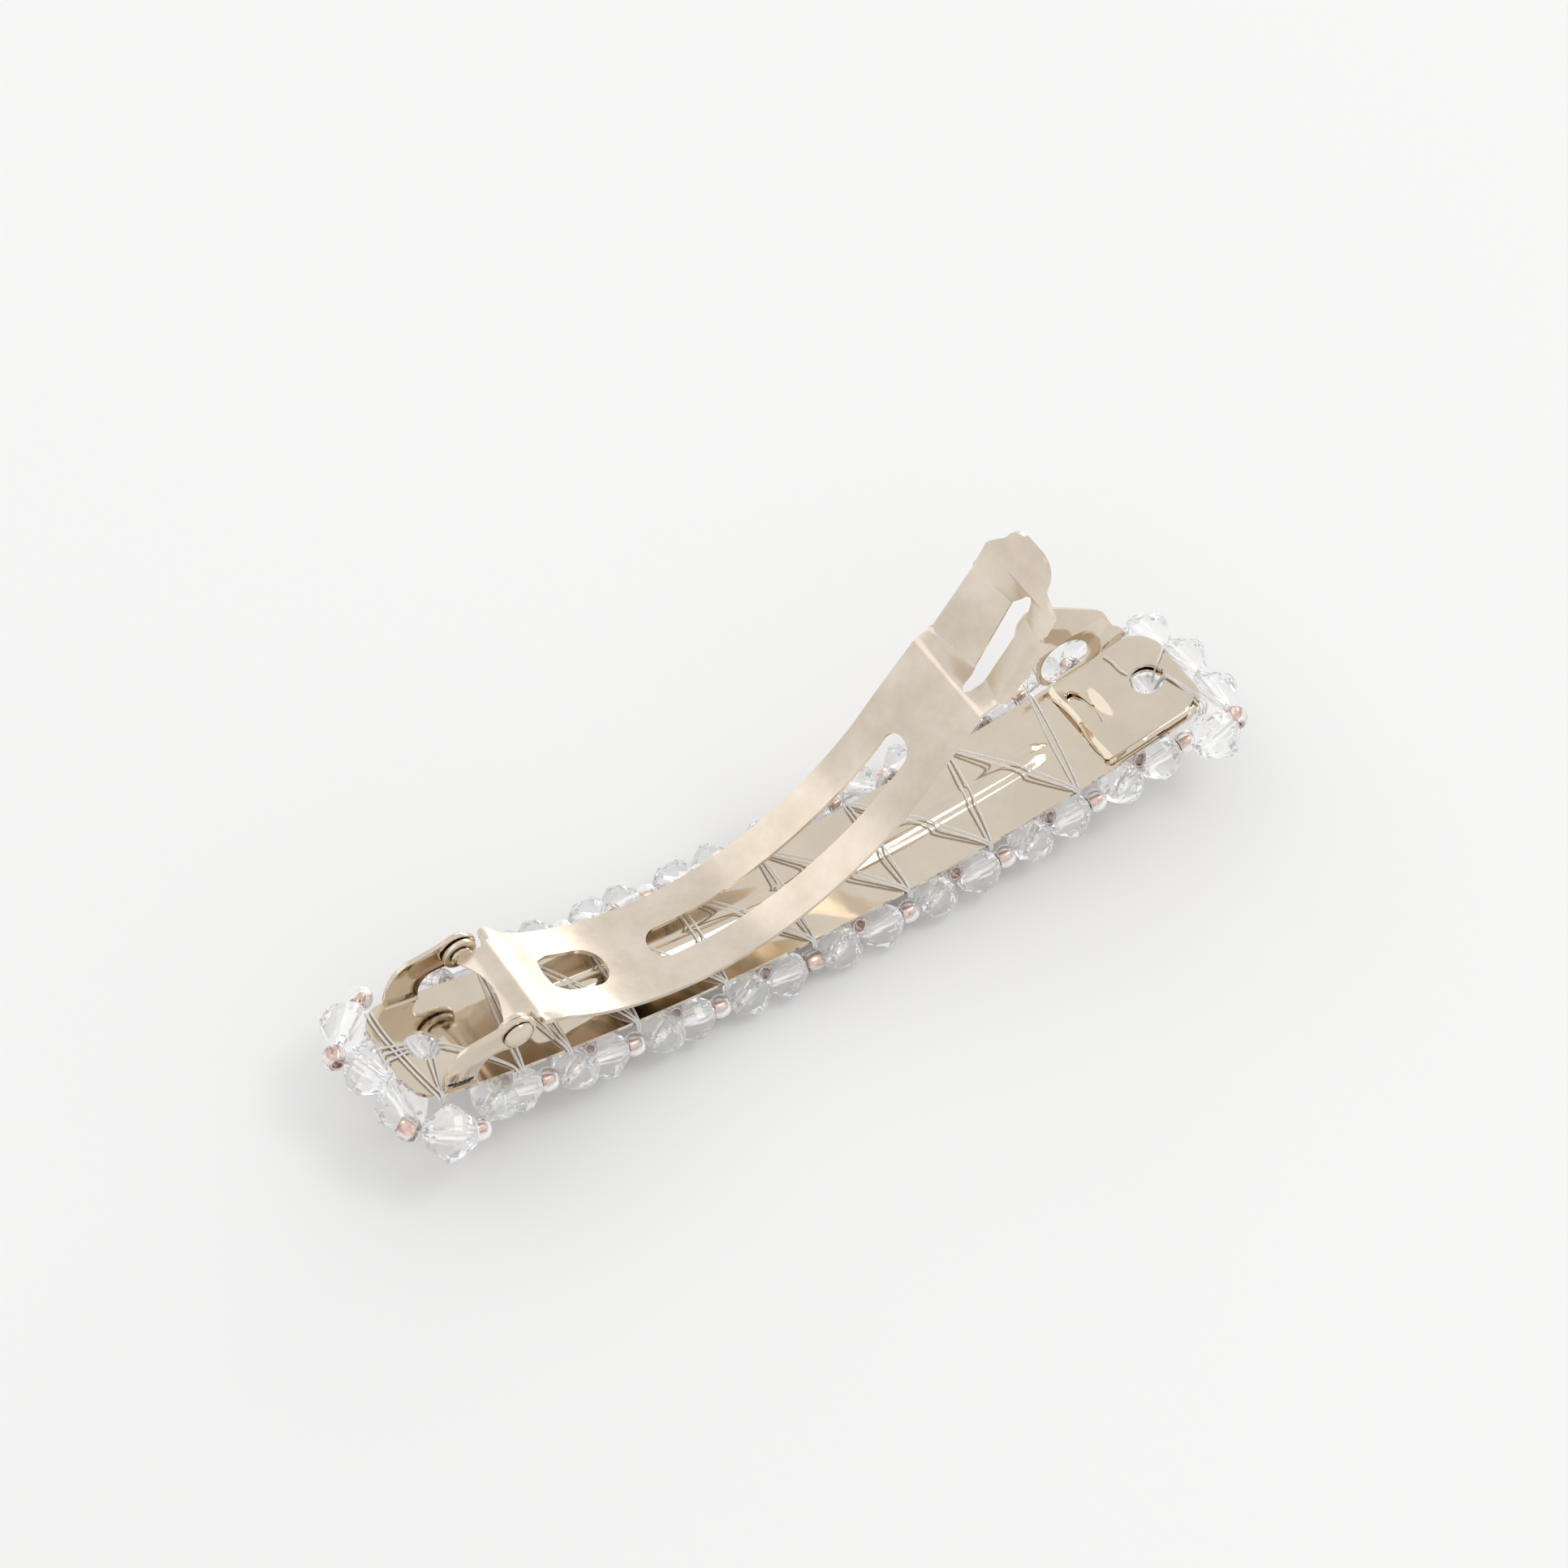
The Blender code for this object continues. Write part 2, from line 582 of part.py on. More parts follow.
def build_diamond(index, coll, glass, lined):
    """Crystals round a centre bead, crossing the beaded face.

    The centre is a seed, or a crystal where it lies behind an end hole of the bar.
    """
    x = STATIONS[index]
    centre = bead_point(x, 0)
    at_end = index in (0, len(STATIONS) - 1)
    if at_end:
        pieces = [crystal(centre, (0, 1, 0), coll, glass, size=END_CENTRE_CRYSTAL)]
    else:
        pieces = [seed(centre, (1, 0, 0), coll, lined)]
    reach = FACE_REACH + (0.5 if at_end else 0.0)
    for sx in (-1, 1):
        j = index - sx
        if not 0 <= j < len(STATIONS):
            continue
        xc = (x + STATIONS[j]) / 2
        for sy in (-1, 1):
            target = bead_point(xc, sy * 3.9)
            d = (target - centre).normalized()
            c = centre + d * reach
            pieces.append(tube('line', [centre, c, centre + d * 4.7], 0.2, glass, coll))
            pieces.append(crystal(c, d, coll, glass, size=FACE_CRYSTAL))
    return group('bead_diamond_%d' % (index + 1), pieces, coll)


def build_end(name, points, coll, glass, lined):
    """Chain of beads round one end of the bar: (kind, x, y) in stringing order."""
    spots = [bead_point(x, y) for kind, x, y in points]
    pieces = [tube('line', spots, 0.2, glass, coll)]
    for i, (kind, x, y) in enumerate(points):
        a = spots[max(i - 1, 0)]
        b = spots[min(i + 1, len(spots) - 1)]
        d = (b - a).normalized()
        if kind == 'crystal':
            pieces.append(crystal(spots[i], d, coll, glass))
        else:
            pieces.append(seed(spots[i], d, coll, lined))
    return group(name, pieces, coll)


def build_beads(coll, glass, lined):
    for i in range(len(STATIONS) - 1):
        for side in (-1, 1):
            build_edge_unit(i, side, coll, glass, lined)
    for i in range(len(STATIONS)):
        build_diamond(i, coll, glass, lined)
    build_end('bead_end_hinge',
              (('seed', -35.9, -8.5), ('crystal', -38.3, -8.1), ('seed', -41.2, -6.4),
               ('crystal', -40.4, -4.0), ('crystal', -41.0, 0.2), ('seed', -43.0, 2.2),
               ('crystal', -40.4, 4.7), ('seed', -37.9, 7.0)), coll, glass, lined)
    build_end('bead_end_catch',
              (('crystal', 39.6, -7.6), ('seed', 41.9, -7.3), ('crystal', 41.8, -4.2),
               ('crystal', 41.8, 0.2), ('crystal', 40.9, 4.3)), coll, glass, lined)


# ---- lacing ----------------------------------------------------------------------------
def over_bar(a, b, steps, cross):
    """Points of a line drawn straight across the bar's back."""
    out = []
    for k in range(steps + 1):
        t = k / steps
        x = a[0] + (b[0] - a[0]) * t
        y = a[1] + (b[1] - a[1]) * t
        lift = LINE_LIFT + (cross if abs(y) > 4.0 else 0.0)
        out.append((x, y, bar_z(x) + rib_height(x, y) + lift))
    return out


def build_lacing(coll, nylon):
    """Two parallel runs of line that zigzag across the back of the bar."""
    stations = tuple(reversed(STATIONS[1:-1]))
    edge = BAR_HALF_WIDTH + 0.35
    for label, shift, cross in (('a', -LINE_PAIR / 2, 0.0), ('b', LINE_PAIR / 2, LINE_CROSS)):
        points = []
        for i, x in enumerate(stations):
            near = (x - 0.9 + shift, -edge)
            far = (x + 0.5 + shift, edge)
            if i:
                points += over_bar(points[-1][:2], near, 10, cross)[1:]
            else:
                points.append((near[0], near[1], bar_z(near[0]) + LINE_LIFT + cross))
            points += over_bar(near, far, 10, cross)[1:]
        tube('lacing_' + label, points, LINE_RADIUS, nylon, coll)


def build_lashing(name, knot, runs, height, coll, nylon):
    """Line tied off at an end hole: a knot and the runs that lead away from it."""
    place = Matrix.Translation((knot[0], knot[1], height(knot[0]) + 0.42))
    profile = [(0.12, -0.30), (0.34, -0.18), (0.42, 0.0), (0.34, 0.18), (0.12, 0.30)]
    pieces = [lathe(name, profile, place, 10, nylon, coll)]
    for i, end in enumerate(runs):
        points = []
        for k in range(7):
            t = k / 6
            x = knot[0] + (end[0] - knot[0]) * t
            y = knot[1] + (end[1] - knot[1]) * t
            lift = 0.22 if k else 0.40
            points.append((x, y, height(x) + lift))
        pieces.append(tube('run', points, LINE_RADIUS, nylon, coll))
    group(name, pieces, coll)


def catch_top(x):
    """Back face of the catch plate at x."""
    return bar_z(x) + CATCH_LIFT + SHEET / 2


def stand_on_table(coll):
    """Move the whole clip so that its box is centred and its lowest bead is at zero."""
    bpy.context.view_layer.update()
    corners = [o.matrix_world @ v.co for o in coll.objects for v in o.data.vertices]
    low = Vector([min(c[i] for c in corners) for i in range(3)])
    high = Vector([max(c[i] for c in corners) for i in range(3)])
    shift = Vector((-(low.x + high.x) / 2, -(low.y + high.y) / 2, -low.z))
    for obj in bpy.data.objects:
        obj.location += shift
    return shift


def main():
    for obj in list(bpy.data.objects):
        bpy.data.objects.remove(obj, do_unlink=True)
    coll = collection('beaded_hair_clip')
    cutters = collection('cutters')
    nickel = material('bright_nickel', (0.80, 0.75, 0.68), 1.0, 0.08)
    satin = material('satin_nickel', (0.82, 0.77, 0.70), 1.0, 0.28)
    glass = material('crystal_glass', (0.93, 0.93, 0.95), 0.0, 0.04, 0.8)
    lined = material('rose_lined_glass', (0.86, 0.62, 0.52), 0.3, 0.12)
    nylon = material('clear_nylon', (0.95, 0.93, 0.90), 0.0, 0.15, 0.6)
    build_bar(coll, cutters, nickel)
    build_studs(coll, nickel)
    build_arm(coll, cutters, satin)
    build_catch(coll, cutters, nickel)
    build_beads(coll, glass, lined)
    build_lacing(coll, nylon)
    build_lashing('lashing_hinge', (-38.75, -0.4),
                  ((-39.0, 4.6), (-40.2, 0.3), (-40.1, -1.0), (-38.6, -4.9), (-37.7, -5.0)),
                  bar_z, coll, nylon)
    build_lashing('lashing_catch', (38.55, -0.4),
                  ((39.9, 2.0), (39.9, -3.4), (39.3, -4.0)), catch_top, coll, nylon)
    shift = stand_on_table(coll)
    print('shift in mm:', [round(v / MM, 4) for v in shift])


main()
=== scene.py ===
"""Looks of the beaded French hair clip: plated sheet metal, crystals, seed beads, nylon line.

Lengths are in millimetres in the bar's own axes (origin at the middle of the bar's back face,
+X to the catch, +Z to the mechanism side) and are turned into the frame's metres by row().
"""
import math
import random

import bmesh
import bpy
from mathutils import Matrix, Vector


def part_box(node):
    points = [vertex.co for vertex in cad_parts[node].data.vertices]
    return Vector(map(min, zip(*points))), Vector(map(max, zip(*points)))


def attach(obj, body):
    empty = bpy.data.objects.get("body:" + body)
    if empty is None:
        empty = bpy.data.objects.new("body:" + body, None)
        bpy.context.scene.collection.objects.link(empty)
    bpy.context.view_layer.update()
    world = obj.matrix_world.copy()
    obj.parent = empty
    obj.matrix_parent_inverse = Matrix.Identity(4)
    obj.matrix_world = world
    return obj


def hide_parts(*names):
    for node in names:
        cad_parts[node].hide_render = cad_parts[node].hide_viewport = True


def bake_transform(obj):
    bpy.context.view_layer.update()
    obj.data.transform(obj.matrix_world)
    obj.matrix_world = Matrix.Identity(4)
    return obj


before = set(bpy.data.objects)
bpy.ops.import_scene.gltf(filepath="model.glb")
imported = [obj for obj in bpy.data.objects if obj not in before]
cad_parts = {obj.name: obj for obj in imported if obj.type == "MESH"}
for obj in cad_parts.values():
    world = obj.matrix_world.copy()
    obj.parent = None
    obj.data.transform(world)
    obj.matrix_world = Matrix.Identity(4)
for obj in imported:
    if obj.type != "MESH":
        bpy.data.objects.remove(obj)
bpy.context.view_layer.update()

MM = 0.001
SIDES = ((-1, "front"), (1, "rear"))

# ---- camera ----
CAMERA_AZIMUTH = math.radians(-128.51)
CAMERA_ELEVATION = math.radians(52.10)
CAMERA_ROLL = math.radians(6.07)
CAMERA_DISTANCE = 320.1
CAMERA_SHIFT = (-1.03, 8.96)  # how far its axis passes from the origin, across and up
SENSOR_WIDTH = 36.0
FOCAL_LENGTH = 86.36

# ---- bar ----
SHEET = 0.40
BAR_HALF_LENGTH = 40.0
BAR_HALF_WIDTH = 5.1
BAR_CORNER = 2.6
BAR_RISE = 5.5  # how much higher the bar's ends are than its middle
RIB_HALF_LENGTH = 26.6
RIB_HALF_WIDTH = 1.45
RIB_HEIGHT = 0.50
RIB_TAPER = 2.2  # length over which the rib narrows at its ends
RIB_RUNOUT = 1.6  # length over which it sinks into the bar there
END_HOLE_X = 36.7
END_HOLE_RADIUS = 1.5

# ---- hinge ----
PIVOT_X = -30.7
PIVOT_Z = 8.0
EAR_INNER_Y = 4.55
EAR_FOLD_RADIUS = 0.45
EAR_FOLD_X = (-37.5, -34.4)
EAR_FOLD_STEM = 0.8  # straight length above the fold
EAR_OUTLINE = ((-37.6, 4.9), (-37.4, 6.6), (-36.8, 8.2), (-35.6, 9.1), (-34.1, 9.3),
               (-32.4, 9.5), (-31.2, 9.8), (-29.9, 9.55), (-29.0, 8.7), (-28.9, 7.5),
               (-29.6, 6.5), (-30.8, 6.2), (-32.2, 6.6), (-33.3, 6.6), (-34.0, 6.0),
               (-34.4, 5.0), (-34.3, 4.2))
EAR_HOLE_RADIUS = 0.85
LUG_Y = 4.2
LUG_RADIUS = 1.5
LUG_HOLE_RADIUS = 0.62
STUD_RADIUS = 0.60
STUD_PEEN = ((0.80, 3.66), (0.92, 3.72), (0.95, 3.82))  # inner end, as (radius, y)
STUD_PEEN_Y = 3.90
STUD_HEAD_RADIUS = 1.35
STUD_HEAD_Y = (5.02, 5.08)  # underside and rim of the head
STUD_DOME = 0.62

# ---- clasp arm ----
ARM_HALF_WIDTH = 4.75
ARM_SHOULDER = 5.3
LIP_HALF_WIDTH = 3.75
LIP_BOW = 1.2  # how far the middle of the hinge lip is cut back
SHOULDER_X = -28.35
PARALLEL_X = -25.6  # from here to the tab the arm has one width
ARM_PROFILE = ((-31.2, 7.4), (-29.9, 7.95), (-28.5, 7.95), (-27.2, 7.3), (-24.2, 5.3),
               (-20.5, 3.55), (-16.5, 2.4), (-12.0, 1.95), (-8.0, 2.25), (-4.0, 3.35),
               (0.0, 5.25), (4.0, 8.05), (7.5, 11.6), (10.3, 15.6), (13.5, 20.0))
LATCH_PROFILE = ((15.1, 20.6), (18.6, 26.2), (19.6, 28.3), (20.3, 32.6))
LATCH_FOLD = 0.42  # from each fold's corner to where its rounding starts
SMALL_SLOT = (-25.2, -19.3, 2.0)  # first x, last x, half width
SMALL_SLOT_START = 1.5  # half width of its straight end
LONG_SLOT = (-15.0, 9.6, 1.55)
BOX_TROUGH = 1.45  # how far the latch sinks in a shallow V
BOX_MIDDLE = -0.7  # y of the bottom of the V
BOX_EDGE = 4.3  # y where the V meets the rims
BOX_SINK = (0.848, 0, -0.53)  # the way that it sinks
BOX_SLOT_MARGIN = 0.15  # from the latch's end folds to its cross slot
BOX_SLOT_CORNER = 0.35
BOX_SLOT_NEAR = (-2.35, -2.0, -1.85, -1.85)  # y of the slot's edges at its ends and folds
BOX_SLOT_FAR = (-1.5, -0.05, 0.45, -1.35)
FLANGE_BEND = 0.30
FLANGE_DROP = 1.05
TAB_HALF_WIDTH = 2.8
TAB_SHOULDER = 2.2  # height over which the latch narrows to the tab
TAB_SKEW = 0.8  # the rear shoulder is this much longer than that, the front one shorter
TAB_CORNER = 1.9
TAB_CROWN = 0.10  # how far the tab is arched across

# ---- catch ----
CATCH_X0 = 29.4
CATCH_X1 = 39.5
CATCH_LIFT = 0.56  # its mid sheet above the bar's back
CATCH_HALF_WIDTH = 4.55
CATCH_CORNER = 2.2
CATCH_INNER_CORNER = 0.6
CATCH_EYE = (30.75, 0.9, 0.95, 2.3)  # notch at its inner end: x, y, half length, half width
CATCH_FOLD = 0.42  # width that turns up at the wings
CATCH_FOLD_X = (34.3, 37.6)
CATCH_ARCH = 0.5  # how far the inner end is arched over the lacing
CATCH_TUCK = 0.3  # how far it is pressed down behind the notch
FOLD_Y = 4.75
FOLD_MIDDLE_X = 33.6
WING_FLARE = math.radians(27.0)
WING_HOLE = (31.9, 1.55, 2.5, 1.65)  # x, height, half length, half height
WING_HOLE_FLOOR = 0.32  # where the hole is cut off straight above the fold
WING_OUTLINE = ((29.0, 0.10), (38.2, 0.10), (37.9, 1.3), (37.2, 1.9), (36.9, 3.7), (36.2, 4.4),
                (31.9, 7.5), (30.5, 7.9), (29.2, 7.4), (28.4, 6.2), (28.4, 4.6), (28.8, 3.0))

# ---- beads ----
CRYSTAL = 4.0  # nominal size of a crystal of the long edges
END_CRYSTAL = 4.5
FACE_CRYSTAL = 3.7
FACE_CENTRE_CRYSTAL = 3.5
CRYSTAL_SWELL = 0.12  # its radius beyond half the nominal size
CRYSTAL_BELT = 0.34  # half height of its upright belt
CRYSTAL_TIP = 1.05  # radius of the collar round its hole
CRYSTAL_HOLE = 0.42
CRYSTAL_SIDES = 12
SEED_RADIUS = 1.04
SEED_LENGTH = 1.62
SEED_HOLE = 0.62
SEED_ROUNDING = 0.34
BEAD_DROP = 2.45  # bead centres below the bar's back
BEAD_SHIFT = 0.8  # the netting lies this far towards the rear
REAR_LAG = 1.0  # the rear edge's beads lie this far towards the catch
STATIONS = (37.2, 27.7, 18.1, 8.0, -1.9, -11.3, -19.8, -28.2, -35.9)
EDGE_Y = 6.3
OUTER_SEED_Y = 6.4
INNER_SEED_Y = 5.5
INNER_SEED_DROP = 1.60
NET_Y = 3.9  # where the crossing strings meet the edge strings
HINGE_END_BEADS = (("seed", -35.9, -8.5), ("crystal", -38.3, -8.1), ("seed", -41.2, -6.4),
                   ("crystal", -40.4, -4.0), ("crystal", -41.0, 0.2), ("seed", -43.0, 2.2),
                   ("crystal", -40.4, 4.7), ("seed", -37.9, 7.0))
CATCH_END_BEADS = (("crystal", 39.6, -7.6), ("seed", 41.9, -7.3), ("crystal", 41.8, -4.2),
                   ("crystal", 41.8, 0.2), ("crystal", 40.9, 4.3))

# ---- line ----
STRING_RADIUS = 0.11  # inside the beads
LINE_RADIUS = 0.10  # over the bar
LINE_SIDES = 10
LACING_FRONT = (-30.4, -25.9, -19.3, -10.5, -1.7, 8.1, 16.6, 25.8)  # x at the front edge
LACING_REAR = (-28.3, -25.2, -18.6, -9.7, -0.9, 8.5, 18.9, 28.2)  # x at the rear edge
LACING_SPREAD = 0.27  # half the space between the two lines of a pair
LACING_STACK = 0.14  # how much higher the return run lies

bar_low, bar_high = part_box("base_bar")
ORIGIN = Vector(((bar_low.x + bar_high.x) / 2, (bar_low.y + bar_high.y) / 2,
                 bar_low.z + SHEET * MM)) / MM
chance = random.Random(7)


def row(point):
    """A point in the bar's millimetres as a point of the frame in metres."""
    return (Vector(point) + ORIGIN) * MM


def bar_z(x):
    """Height of the bar's back face at x."""
    return BAR_RISE * (x / BAR_HALF_LENGTH) ** 2


def ease(t):
    """Smooth step from 0 to 1."""
    t = min(1.0, max(0.0, t))
    return t * t * (3 - 2 * t)


# ---- materials ----
def new_material(name):
    """Node material with its nodes, links and shader."""
    mat = bpy.data.materials.new(name)
    mat.use_nodes = True
    nodes = mat.node_tree.nodes
    return mat, nodes, mat.node_tree.links, nodes["Principled BSDF"]


def noise(nodes, links, scale, detail=3.0, roughness=0.5):
    """Noise in the frame's own coordinates; scale is in features per metre."""
    place = nodes.new("ShaderNodeTexCoord")
    texture = nodes.new("ShaderNodeTexNoise")
    texture.inputs["Scale"].default_value = scale
    texture.inputs["Detail"].default_value = detail
    texture.inputs["Roughness"].default_value = roughness
    links.new(place.outputs["Object"], texture.inputs["Vector"])
    return texture.outputs["Fac"]


def ramp(nodes, links, value, stops):
    """Colour ramp through (position, colour) stops."""
    node = nodes.new("ShaderNodeValToRGB")
    elements = node.color_ramp.elements
    while len(elements) < len(stops):
        elements.new(0.5)
    for element, (position, colour) in zip(elements, stops):
        element.position = position
        element.color = (*colour, 1.0)
    links.new(value, node.inputs["Fac"])
    return node.outputs["Color"]


def to_range(nodes, links, value, low, high):
    """Value from 0..1 spread over low..high."""
    node = nodes.new("ShaderNodeMapRange")
    node.inputs["To Min"].default_value = low
    node.inputs["To Max"].default_value = high
    links.new(value, node.inputs["Value"])
    return node.outputs["Result"]


def bump(nodes, links, height, strength, distance, shader, below=None):
    """Bump on the shader's normal; distance is in metres, below is a bump that it adds to."""
    node = nodes.new("ShaderNodeBump")
    node.inputs["Strength"].default_value = strength
    node.inputs["Distance"].default_value = distance
    links.new(height, node.inputs["Height"])
    if below is not None:
        links.new(below, node.inputs["Normal"])
    links.new(node.outputs["Normal"], shader.inputs["Normal"])
    return node.outputs["Normal"]


def plated_metal(name, dark, light, rough_low, rough_high, ripple):
    """Nickel plate over stamped sheet: cloudy tone, fine orange peel and a faint ripple."""
    mat, nodes, links, shader = new_material(name)
    shader.inputs["Metallic"].default_value = 1.0
    cloud = noise(nodes, links, 170, 4.0, 0.6)
    links.new(ramp(nodes, links, cloud, ((0.35, dark), (0.65, light))),
              shader.inputs["Base Color"])
    grain = noise(nodes, links, 900, 5.0, 0.65)
    links.new(to_range(nodes, links, grain, rough_low, rough_high), shader.inputs["Roughness"])
    wave = bump(nodes, links, noise(nodes, links, 260, 2.0), ripple, 0.00006, shader)
    bump(nodes, links, noise(nodes, links, 4200, 3.0), 0.12, 0.00001, shader, wave)
    return mat


def clear_glass(name, tints, film, clearness, glow, ior=1.54):
    """Glass, faintly milky, with a drifting tint and an iridescent coating.

    film is the coating's thickness in nanometres, 0 for none. glow stands for the light that the real
    facets throw about inside a bead.
    """
    mat, nodes, links, shader = new_material(name)
    shader.inputs["Transmission Weight"].default_value = clearness
    shader.inputs["Emission Color"].default_value = (1.0, 0.98, 0.98, 1.0)
    shader.inputs["Emission Strength"].default_value = glow
    shader.inputs["IOR"].default_value = ior
    shader.inputs["Roughness"].default_value = 0.015
    shader.inputs["Thin Film Thickness"].default_value = film
    shader.inputs["Thin Film IOR"].default_value = 1.62
    drift = noise(nodes, links, 330, 2.0)
    links.new(ramp(nodes, links, drift, tuple(zip((0.3, 0.5, 0.7), tints))),
              shader.inputs["Base Color"])
    bump(nodes, links, noise(nodes, links, 1500, 2.0), 0.05, 0.00002, shader)
    return mat


def rose_lining(name):
    """Metallic rose lining in a seed bead's hole, streaked where the plating is thin."""
    mat, nodes, links, shader = new_material(name)
    shader.inputs["Metallic"].default_value = 1.0
    streak = noise(nodes, links, 1300, 4.0, 0.7)
    tones = ((0.34, (0.30, 0.19, 0.16)), (0.48, (0.80, 0.61, 0.53)), (0.68, (0.98, 0.86, 0.80)))
    links.new(ramp(nodes, links, streak, tones), shader.inputs["Base Color"])
    links.new(to_range(nodes, links, streak, 0.10, 0.30), shader.inputs["Roughness"])
    bump(nodes, links, noise(nodes, links, 2500, 2.0), 0.4, 0.00004, shader)
    return mat


def nylon_line(name):
    """Clear beading line, a little yellowed and not quite smooth."""
    mat, nodes, links, shader = new_material(name)
    shader.inputs["Transmission Weight"].default_value = 0.35
    shader.inputs["IOR"].default_value = 1.45
    drift = noise(nodes, links, 800, 2.0)
    tones = ((0.3, (0.93, 0.90, 0.86)), (0.7, (0.99, 0.97, 0.95)))
    links.new(ramp(nodes, links, drift, tones), shader.inputs["Base Color"])
    links.new(to_range(nodes, links, drift, 0.06, 0.16), shader.inputs["Roughness"])
    bump(nodes, links, noise(nodes, links, 5000, 2.0), 0.15, 0.00002, shader)
    return mat


BRIGHT = plated_metal("bright_nickel_plate", (0.70, 0.61, 0.50), (0.76, 0.67, 0.55),
                      0.035, 0.10, 0.35)
SATIN = plated_metal("satin_nickel_plate", (0.68, 0.59, 0.49), (0.82, 0.73, 0.62),
                     0.17, 0.30, 0.6)
CRYSTAL_GLASS = clear_glass("coated_crystal",
                            ((0.985, 0.985, 0.985), (0.99, 0.985, 0.99), (0.99, 0.98, 0.985)),
                            film=260, clearness=0.90, glow=0.05)
ROSE_GLASS = clear_glass("rose_seed_glass",
                         ((0.99, 0.92, 0.88), (1.0, 0.95, 0.92), (0.99, 0.93, 0.90)),
                         film=0, clearness=0.94, glow=0.01, ior=1.5)
LINING = rose_lining("rose_lining")
NYLON = nylon_line("clear_nylon_line")


# ---- mesh helpers ----
def finish_mesh(name, bm, materials, sharp=32.0, body="bar"):
    """Turn a bmesh in millimetres into a smooth-shaded piece that rides on a body."""
    bmesh.ops.remove_doubles(bm, verts=bm.verts, dist=1e-4)
    bmesh.ops.dissolve_degenerate(bm, edges=bm.edges, dist=1e-4)
    bmesh.ops.recalc_face_normals(bm, faces=bm.faces)
    for vert in bm.verts:
        vert.co = row(vert.co)
    mesh = bpy.data.meshes.new(name)
    bm.to_mesh(mesh)
    bm.free()
    mesh.shade_smooth()
    mesh.set_sharp_from_angle(angle=math.radians(sharp))
    for material in materials:
        mesh.materials.append(material)
    obj = bpy.data.objects.new(name, mesh)
    bpy.context.scene.collection.objects.link(obj)
    if body is not None:
        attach(obj, body)
    return obj


def sheet_bmesh(stations, sides, surface):
    """Open quad sheet. sides(s) gives, for each side of the seam, its y values from the seam out."""
    bm = bmesh.new()
    rows = [[[bm.verts.new(surface(s, v)) for v in run] for run in sides(s)] for s in stations]
    for a, b in zip(rows, rows[1:]):
        for run_a, run_b in zip(a, b):
            for j in range(len(run_a) - 1):
                bm.faces.new((run_a[j], run_a[j + 1], run_b[j + 1], run_b[j]))
    bmesh.ops.remove_doubles(bm, verts=bm.verts, dist=1e-4)
    bmesh.ops.dissolve_degenerate(bm, edges=bm.edges, dist=1e-4)
    return bm


def thicken(obj, up, edge=0.08):
    """Give a sheet its thickness, with rolled edges. up is the side that its normals face."""
    mesh = obj.data
    total = Vector((0, 0, 0))
    for polygon in mesh.polygons:
        total += polygon.normal * polygon.area
    if total.dot(Vector(up)) < 0:
        mesh.flip_normals()
    solid = obj.modifiers.new("thickness", "SOLIDIFY")
    solid.thickness = SHEET * MM
    solid.offset = 0.0
    solid.use_even_offset = True
    soft = obj.modifiers.new("rolled_edge", "BEVEL")
    soft.width = edge * MM
    soft.segments = 2
    soft.limit_method = "ANGLE"
    soft.angle_limit = math.radians(50)
    soft.harden_normals = True


def merged(values, gap=0.02):
    """Sorted stations without near repeats."""
    out = []
    for value in sorted(values):
        if not out or value - out[-1] > gap:
            out.append(value)
    return out


def round_stops(centre, radius, count):
    """Stations that lie evenly round a circle's edge."""
    return [centre - radius * math.cos(math.pi * k / count) for k in range(count + 1)]


def even_stops(first, last, step):
    """Stations from first to last, about a step apart."""
    count = max(1, round((last - first) / step))
    return [first + (last - first) * k / count for k in range(count + 1)]


def half_round(s, centre, radius):
    """Half the width of a circle at s."""
    return math.sqrt(max(0.0, radius ** 2 - (s - centre) ** 2))


def lathe_into(bm, profile, place, sides, material=0, loop=False):
    """Add a turned shape about local Z from (radius, height) points. loop joins last to first."""
    rings = []
    for radius, height in profile:
        ring = []
        for k in range(sides):
            a = 2 * math.pi * k / sides
            ring.append(bm.verts.new(place @ Vector((radius * math.cos(a),
                                                     radius * math.sin(a), height))))
        rings.append(ring)
    pairs = list(zip(rings, rings[1:]))
    if loop:
        pairs.append((rings[-1], rings[0]))
    else:
        bm.faces.new(rings[0]).material_index = material
        bm.faces.new(list(reversed(rings[-1]))).material_index = material
    for a, b in pairs:
        for k in range(sides):
            n = (k + 1) % sides
            bm.faces.new((a[k], a[n], b[n], b[k])).material_index = material


def smooth_path(points, step):
    """Catmull-Rom curve through 3-D points, sampled about every step."""
    pts = [Vector(p) for p in points]
    pts = [2 * pts[0] - pts[1]] + pts + [2 * pts[-1] - pts[-2]]
    out = []
    for i in range(1, len(pts) - 2):
        a, b, c, d = pts[i - 1:i + 3]
        count = max(2, math.ceil((c - b).length / step))
        for j in range(count):
            t = j / count
            out.append(0.5 * (2 * b + (c - a) * t + (2 * a - 5 * b + 4 * c - d) * t * t
                              + (3 * b - a - 3 * c + d) * t ** 3))
    out.append(pts[-2])
    return out


